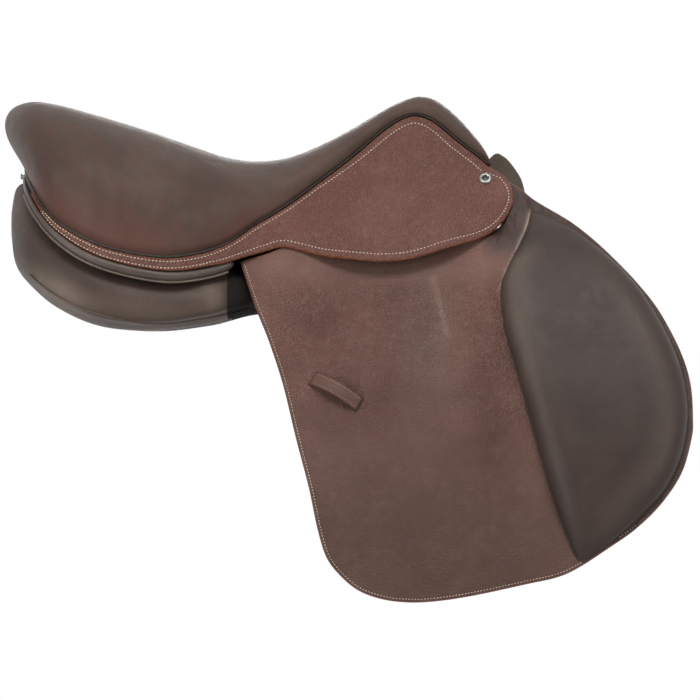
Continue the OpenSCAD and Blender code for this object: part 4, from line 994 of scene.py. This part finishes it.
def flap_lift(q):
    """How far the flap's face stands out of its plain curve."""
    x, z = q[:, 0], q[:, 1]
    lift = 0.7 * np.sin(x / 46.0 + 1.1) * np.sin(z / 58.0 + 0.4)
    lift += 1.9 * line_bump(q, *RIDGE, 4.5)
    lift += 0.6 * line_bump(q, (150.0, 40.0), (158.0, -20.0), 9.0)
    lift += 0.8 * line_bump(q, (196.0, 20.0), (204.0, -90.0), 14.0)
    lift -= 2.6 * line_bump(q, (80.0, 66.0), (180.0, 72.0), 22.0)
    u, v = np.abs(x - DEE[0]) - 7.5, np.abs(z - DEE[1] + 4.0) - 13.0
    lift -= 4.6 * smooth(1 - np.maximum(np.maximum(u, v), 0) / 6.0)
    return lift


def behind_block(q):
    """Distance of places behind the knee block's rear edge from that edge, negative in front of it."""
    x, z = flap_place(np.stack([BLOCK_REAR, BLOCK_Z], 1))[::-1].T
    return np.interp(q[:, 1], z, x) - q[:, 0]


def flap_marks(q):
    """Where the flap's colour changes or its leather is wrinkled, and where highlights are painted on it."""
    x, z = q[:, 0], q[:, 1]
    back = behind_block(q)
    spot = lambda px, py, w, h: np.exp(-((x - px) / w) ** 2 - ((z - py) / h) ** 2)
    front = smooth((back + 2.0) / -1.5) * smooth((106 - z) / 6)
    red = spot(222, -95, 26, 70) + 0.7 * spot(110, -60, 40, 40) + 0.5 * spot(60, 10, 40, 40)
    olive = spot(160, -15, 30, 55) + 0.7 * spot(120, 60, 60, 25)
    # Painted highlight: a pale line just behind the knee block's rear edge, where the flap's edge stands out.
    pale = np.exp(-((back - 1.2) / 1.5) ** 2) * smooth((z - 20) / 30) * smooth((116 - z) / 8)
    return {
        "low": smooth((10 - z) / 210) * (1 - 0.3 * smooth((x - 220) / 80)),
        "red": np.clip(red, 0, 1),
        "olive": np.clip(olive, 0, 1),
        "neck": smooth((z - 62) / 22) * smooth((x - 212) / 10) * (1 - front),
        "rim": front,
        # The pale mark adds a painted highlight along the fold ridge.
        "pale": pale + 0.2 * line_bump(q, *RIDGE, 2.6) + 0.10 * line_bump(q, *RIDGE, 9.0)}


def flaps():
    edge = curve(flap_place(FLAP_EDGE), 420)
    outline = np.vstack([edge, flap_place(FLAP_TOP)])
    loop = even(outline, 2.6, closed=True)
    hole = even(BAR + np.multiply(((-1, -1), (1, -1), (1, 1), (-1, 1)), BAR_WINDOW), 5.0, closed=True)
    rows = [0.4, 1.1, 2.2, 2.9, 3.6, 4.3, 5.2, 7.0]
    z = np.arange(-200.0, 116.0, 3.0)
    rear = np.stack([behind_block(np.stack([0 * z, z], 1)), z], 1)
    lines = [rear - [off, 0] for off in (-1.5, 0.0, 1.5, 3.0, 5.0, 7.2, 8.6, 10.0, 12.0)]
    a, b = np.array(RIDGE)
    aside = np.array([[off, 0.25 * off] for off in range(-9, 10, 2)])
    lines += [lerp(a, b, s) + aside for s in np.linspace(-0.15, 1.15, 30)]
    lines = np.vstack(lines)
    lines = lines[inside(lines, loop) & (edge_distance(lines, loop) > 8.0)]
    q, tri, d = cut_sheet(loop, rows, 6.0, [hole], [lines])
    back = behind_block(q)
    fold = np.exp(-((back - 8.6) / 1.0) ** 2) * smooth((70 - q[:, 1]) / 30) * smooth((q[:, 1] + 190) / 90)
    step = 1.3 * smooth((back + 1.0) / 3.0) * smooth((40 - back) / 30) * smooth((q[:, 1] - 10) / 60)
    lift = (flap_lift(q) - 0.5 * fold + step) * smooth(d / 12.0)
    groove = -0.3 * np.exp(-((d - FLAP_SEWN) / 0.6) ** 2)
    n = side_normals(q[:, 1])
    p = on_flap(q, BARREL)
    top = p + (lift + groove - rounded(d, *FLAP_ROUND))[:, None] * n
    bottom = p + (np.minimum(lift, 0) - FLAP_THICK + rounded(d, *FLAP_ROUND))[:, None] * n
    verts, faces, wear = shell(tri, d, top, bottom)
    marks = {key: np.concatenate([m, 0 * m[d >= 1e-4]]) for key, m in flap_marks(q).items()}
    marks["edge"] = wear
    row = inset(even(outline, 1.3, closed=True), FLAP_SEWN)
    row = row[np.min(np.linalg.norm(row[:, None] - edge[None], axis=2), axis=1) < FLAP_SEWN + 0.3]
    plain = (row[:, 0] < 190) | (row[:, 1] < -178)
    rim = (row[:, 0] > 190) & (row[:, 1] > -178) & (row[:, 1] < 60)
    thread = {"radius": 0.32, "length": 1.8, "pitch": 2.9}
    sewn = [stitch_runs(on_flap(r, BARREL - 0.25), side_normals(r[:, 1]), 6.0, **thread)
            for r in (row[plain], row[rim])]
    pairs("flap_leather", "flap", FLAP_FOLD,
          ("flap_sheet", (verts, faces), FLAP, {"nodes": ("flap", "flap_upper"), "marks": marks}),
          ("flap_stitches", sewn[0], THREAD, {}), ("rim_stitches", sewn[1], THREAD_DARK, {}))


def knee_blocks():
    rear, front = (curve(flap_place(np.stack([x, BLOCK_Z], 1)), 120) for x in (BLOCK_REAR, BLOCK_FRONT))
    loop = even(np.vstack([rear, front[::-1]]), 2.4, closed=True)
    rows = [0.25, 0.6, 1.2, 2.0, 3.0, 4.3, 6.0, 8.0, 10.5, 13.5, 17.0, 21.0, 25.5]
    q, tri, d = cut_sheet(loop, rows, 5.0)
    share = (q[:, 1] - FLAP_FOOT) / FLAP_HEIGHT
    crown = np.interp(share, BLOCK_Z[::-1], BLOCK_CROWN[::-1])
    lift = BLOCK_RISE * crown * (1 - rounded(d, 1.0, BLOCK_SHOULDER)) ** 0.85
    lift += 0.6 * np.sin(q[:, 0] / 30.0) * np.sin(q[:, 1] / 37.0 + 1.0) * smooth(d / 20.0)
    base = on_flap(q, BARREL + 0.2)
    verts, faces, _ = shell(tri, d, base + lift[:, None] * side_normals(q[:, 1]), base)
    back = behind_block(q)
    # Painted highlight: a lighter band inside the block's rear border and one inside its front border, where
    # lamps would shine on its slopes.
    worn = np.exp(-((back + 11) / 12) ** 2) * smooth((84 - q[:, 1]) / 30) * smooth((q[:, 1] + 110) / 130)
    worn += 0.28 * np.exp(-((d - 20) / 12) ** 2) * smooth((q[:, 0] - 290) / 60)
    more = {"fill": 0.9, "marks": {"worn": np.concatenate([worn, worn[d >= 1e-4]])}}
    cord = tube(on_flap(loop, BARREL + 0.6), 0.9, 8, closed=True)
    pairs("block_leather", "flap", FLAP_FOLD,
          ("block", (verts, faces), BLOCK, {"nodes": ("knee_block", "knee_tip"), **more}),
          ("block_piping", cord, BLOCK, {}))


# Panels

def panel_ring(t, steps=6):
    s = curve_at(PANEL, t)
    hug = min(max(s[9], 0.0), 1.0)
    q = []
    for k in range(4):
        z = s[2 + 2 * k] * POMMEL
        width = lerp(PANEL_HALF, -float(side_y(z, SWEAT_IN)), hug if k < 2 else 0.0)
        q.append(np.array([-s[1 + 2 * k] * width, z]))
    middle = sum(q) / 4
    rim = []
    for k in range(4):
        a, b = q[k], q[(k + 1) % 4]
        mid = (a + b) / 2
        rim += [lerp(a, b, 0.16), mid + 0.10 * np.linalg.norm(b - a) * unit(mid - middle), lerp(b, a, 0.16)]
    n = len(rim)
    ring = [catmull(rim[i - 1], rim[i], rim[(i + 1) % n], rim[(i + 2) % n], j / steps)
            for i in range(n) for j in range(steps)]
    x = PANEL_REAR + s[0] * PANEL_LENGTH
    return np.array([[x, p[0], p[1]] for p in ring])


RINGS = [panel_ring(t) for t in np.linspace(0, 1, 110)]
RING_X = np.array([r[0, 0] for r in RINGS])
# Seam along the panel, in pixels of the photograph
PANEL_SEAM = (
    (28, 274), (50, 291), (75, 305), (99.5, 314), (133, 321.6), (166, 323.3), (207, 317.5), (249, 309))


def panel_face(x, z):
    """Outermost y of the right panel at a place of the side view."""
    def at(ring):
        y, h = ring[:, 1], ring[:, 2]
        y2, h2 = np.roll(y, -1), np.roll(h, -1)
        hit = (h - z) * (h2 - z) <= 0
        if not hit.any():
            return y[np.argmin(np.abs(h - z))]
        f = np.where(h2 != h, (z - h) / np.where(h2 != h, h2 - h, 1), 0)
        return (y + f * (y2 - y))[hit].min()
    i = int(np.clip(np.searchsorted(RING_X, x) - 1, 0, len(RINGS) - 2))
    f = np.clip((x - RING_X[i]) / max(RING_X[i + 1] - RING_X[i], 1e-6), 0, 1)
    return lerp(at(RINGS[i]), at(RINGS[i + 1]), f)


def from_photo(px, y=-140.0):
    """Side view places for pixels of the photograph, at a depth y."""
    px = np.asarray(px, float)
    k = PIXEL * (y - CAMERA_Y) / -CAMERA_Y
    return np.stack([(px[:, 0] - HALF_PHOTO) * k + CAMERA_X, (HALF_PHOTO - px[:, 1]) * k + CAMERA_Z], axis=1)


def on_panel(view, out):
    """Places of the side view on the panel's face, evened out along their row."""
    y = np.array([panel_face(x, z) - out for x, z in view])
    y = np.convolve(np.pad(y, 4, mode="edge"), np.ones(9) / 9, "valid")
    return np.stack([view[:, 0], y, view[:, 1]], 1)


def panels():
    verts, faces = loft(RINGS)
    x, z = verts[:, 0], verts[:, 2]
    spot = lambda px, py, w, h, tilt: np.exp(-((x - px) / w) ** 2 - ((z - py - tilt * (x - px)) / h) ** 2)
    # Painted sheen: lighter spots low on the panel's rear, along its belly and just behind the flap, none in
    # front of x = -26 mm.
    worn = spot(-184, 38, 26, 12, -0.55) + 0.22 * spot(-120, 22, 50, 12, -0.1)
    worn = np.clip(worn + 0.45 * spot(-38, 34, 14, 16, 0), 0, 1) * smooth((-26 - x) / 3)
    seam = even(curve(from_photo(PANEL_SEAM), 80), 2.5)
    cord = tube(on_panel(seam, 0.2), 1.1, 8, taper=2)
    row = on_panel(seam, 1.0)
    along = np.gradient(row, axis=0)
    normals = np.cross(along, on_panel(seam + [0, 2.0], 0.0) - on_panel(seam + [0, -2.0], 0.0))
    normals /= np.linalg.norm(normals, axis=1)[:, None]
    normals *= np.where(normals[:, 1] < 0, 1, -1)[:, None]
    sewn = stitches(row + 0.3 * normals, normals, radius=0.3, length=1.5, pitch=2.6)
    more = {"nodes": ("panel",), "fill": 0.8, "marks": {"worn": worn}}
    pairs("panel_leather", "tree", None, ("panel_cushion", (verts, faces), PANELS, more),
          ("panel_seam", cord, PANELS, {}), ("panel_stitches", sewn, THREAD_TAN, {}))


# Keepers and studs

def keepers():
    origin, along, rise, out = side_axes((0.216, 0.505), BARREL, KEEPER_LEAN)
    radius = KEEPER_SPAN ** 2 / (8 * KEEPER_RISE) + KEEPER_RISE / 2
    section = []
    for w, h in ((-1, -1), (1, -1), (1, 1), (-1, 1)):
        for k in (-40, -20, 0, 20, 40):
            a = math.atan2(h, w) + math.radians(k)
            section.append((w * (KEEPER_HALF - KEEPER_ROUND) + KEEPER_ROUND * math.cos(a) * 1.3,
                            h * (KEEPER_THICK / 2 - KEEPER_ROUND) + KEEPER_ROUND * math.sin(a) * 1.3))
    rings, rows = [], ([], [])
    for phi in np.radians(np.linspace(-KEEPER_SWEEP, KEEPER_SWEEP, 45)):
        radial = math.sin(phi) * along + math.cos(phi) * out
        centre = origin + (KEEPER_RISE - radius) * out + (radius + KEEPER_THICK / 2) * radial
        rings.append([centre + w * rise + h * radial for w, h in section])
        if abs(phi) < math.radians(KEEPER_SEWN):
            for row, w in zip(rows, (-KEEPER_ROW, KEEPER_ROW)):
                row.append((centre + w * rise + (KEEPER_THICK / 2 + 0.05) * radial, radial))
    sewn = joined([stitches(*zip(*row), radius=0.42, length=2.1, pitch=3.2) for row in rows])
    # Slots: dark rods across each end of the keeper, for the slots' cut edges and painted shade in the slits.
    rim = [SLOT_RADIUS * (math.cos(a) * along + math.sin(a) * out) for a in circle(8)]
    slots = []
    for end in (-1, 1):
        foot = origin + end * SLOT_REACH * along + SLOT_RISE * out
        slots.append(loft([[foot + w * rise + r for r in rim]
                           for w in np.linspace(-KEEPER_HALF - 1, KEEPER_HALF + 1, 9)]))
    pairs("flap_leather", "flap", None,
          ("keeper_strap", loft(rings), STRAP, {"nodes": ("keeper",), "close": 0.001}),
          ("keeper_stitches", sewn, THREAD_TAN, {}), ("keeper_slots", joined(slots), WELT, {}))


def turned(profile, origin, along, up, axis, sides=40):
    """Turned piece: profile holds radius and height."""
    return loft([[origin + h * axis + r * (math.cos(q) * along + math.sin(q) * up) for q in circle(sides)]
                 for r, h in profile])


def pommel_studs():
    place = side_axes((0.552, 1.028), SKIRT_OUT)
    ring = turned([(4.6, 0.1), (5.8, 0.15), (6.1, 0.6), (5.9, 1.2), (5.2, 1.8), (4.4, 2.1), (3.7, 2.0),
                   (3.3, 1.5), (3.1, 1.1), (1.0, 1.0)], *place)
    # The centre cup is near black: painted shade of the stud's hollow.
    cup = turned([(3.2, 0.9), (3.15, 1.25), (2.7, 1.35), (1.6, 1.55), (0.5, 1.62)], *place)
    piece("stud_rings", halves(ring), STEEL_AGED, "steel", nodes=("pommel_studs",), close=0.001)
    piece("stud_centres", halves(cup), STUD_HOLLOW_SHADE, "steel", close=0.001)


# Finish of the nodes that stay as the frame has them, by the start of their names

FINISH = {
    "tree_": WOOD, "gullet_plate": STEEL, "tree_springs": STEEL, "seat_webs": WEB, "girth_webs": WEB,
    "sweat_flap": INNER, "billet_": STRAP, "buckle_guard": INNER, "gullet_lining": INNER,
    "stirrup_bar": STEEL, "bar_rivets": STEEL, "catch": STEEL, "dee_chape": STRAP, "dee_": STEEL,
    "cantle_studs": STEEL}


def dress_nodes():
    for name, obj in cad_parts.items():
        keys = [k for k in FINISH if name.startswith(k)]
        for slot in obj.material_slots if keys else ():
            slot.link = "OBJECT"
            slot.material = FINISH[max(keys, key=len)]


# Camera, light and floor

def camera():
    data = bpy.data.cameras.new("camera")
    data.sensor_fit = "HORIZONTAL"
    data.lens_unit = "FOV"
    data.angle = 2 * math.atan(PIXEL * HALF_PHOTO / -CAMERA_Y)
    data.clip_end = 50
    cam = bpy.data.objects.new("camera", data)
    cam.location = (CAMERA_X * MM, CAMERA_Y * MM, CAMERA_Z * MM)
    cam.rotation_euler = (math.pi / 2, 0, 0)
    bpy.context.scene.collection.objects.link(cam)
    bpy.context.scene.camera = cam


def lamp(name, place, size, power):
    data = bpy.data.lights.new(name, "AREA")
    data.shape = "RECTANGLE"
    data.size, data.size_y = size
    data.energy = power
    obj = bpy.data.objects.new(name, data)
    obj.location = place
    obj.rotation_euler = (Vector(AIM) - Vector(place)).to_track_quat("-Z", "Y").to_euler()
    bpy.context.scene.collection.objects.link(obj)


def light():
    """Lamps and backdrop. It is white to the camera and, but for the front, to reflections; else dim."""
    scene = bpy.context.scene
    scene.view_settings.view_transform = "Standard"
    n = Nodes(bpy.data.worlds.new("studio"), "Generated")
    scene.world = n.owner
    path = n.add("ShaderNodeLightPath").outputs
    front = n.ramp(n.placed("SeparateXYZ")["Y"], -0.85, -0.2, kind="LINEAR")
    clear = n.most(n.times(path["Is Glossy Ray"], front), path["Is Camera Ray"])
    clear = n.most(clear, path["Is Transmission Ray"])
    back = n.tree.nodes["Background"]
    n.put(n.ramp(clear, 0.0, 1.0, 0.17, 1.0, "LINEAR"), back.inputs["Strength"])
    n.put((1, 1, 1), back.inputs["Color"])
    for row in LAMPS:
        lamp(*row)


def floor():
    """Pale disc under the saddle, below the photograph's frame. To the camera it fades into the backdrop."""
    n = Nodes(bpy.data.materials.new("floor_pale"))
    colour = n.mix(n.ramp(n.noise(3.0), 0.3, 0.7), (0.86, 0.86, 0.85), (0.88, 0.88, 0.87))
    n.finish(colour, 0.8, n.bump(n.noise(90.0), 0.0005, 0.2))
    path = n.add("ShaderNodeLightPath").outputs
    apart = n.add("ShaderNodeVectorMath", operation="DISTANCE")
    n.link(n.place, apart.inputs[0])
    apart.inputs[1].default_value = (CAMERA_X * MM, 0.0, FLOOR_Z * MM)
    rays = n.most(n.most(path["Is Camera Ray"], path["Is Glossy Ray"]), path["Is Transmission Ray"])
    white = n.add("ShaderNodeEmission", Color=(1, 1, 1, 1))
    both = n.add("ShaderNodeMixShader")
    n.link(n.times(n.ramp(apart.outputs["Value"], *FLOOR_FADE), rays), both.inputs[0])
    n.link(n.bsdf.outputs[0], both.inputs[1])
    n.link(white.outputs[0], both.inputs[2])
    n.link(both.outputs[0], n.tree.nodes["Material Output"].inputs["Surface"])
    verts = [(CAMERA_X + r * math.cos(q), r * math.sin(q), FLOOR_Z)
             for r in np.linspace(20, FLOOR_RADIUS, FLOOR_RINGS) for q in circle(FLOOR_SIDES)]
    middle = len(verts)
    verts.append((CAMERA_X, 0.0, FLOOR_Z))
    faces = grid_faces(FLOOR_RINGS, FLOOR_SIDES, True)
    faces += [(middle, j, (j + 1) % FLOOR_SIDES) for j in range(FLOOR_SIDES)]
    make("floor", verts, faces, n.owner)


camera()
light()
floor()
seat_cover()
seat_welt()
cantle_roll()
pommel_facing()
skirts()
flaps()
knee_blocks()
panels()
keepers()
pommel_studs()
dress_nodes()
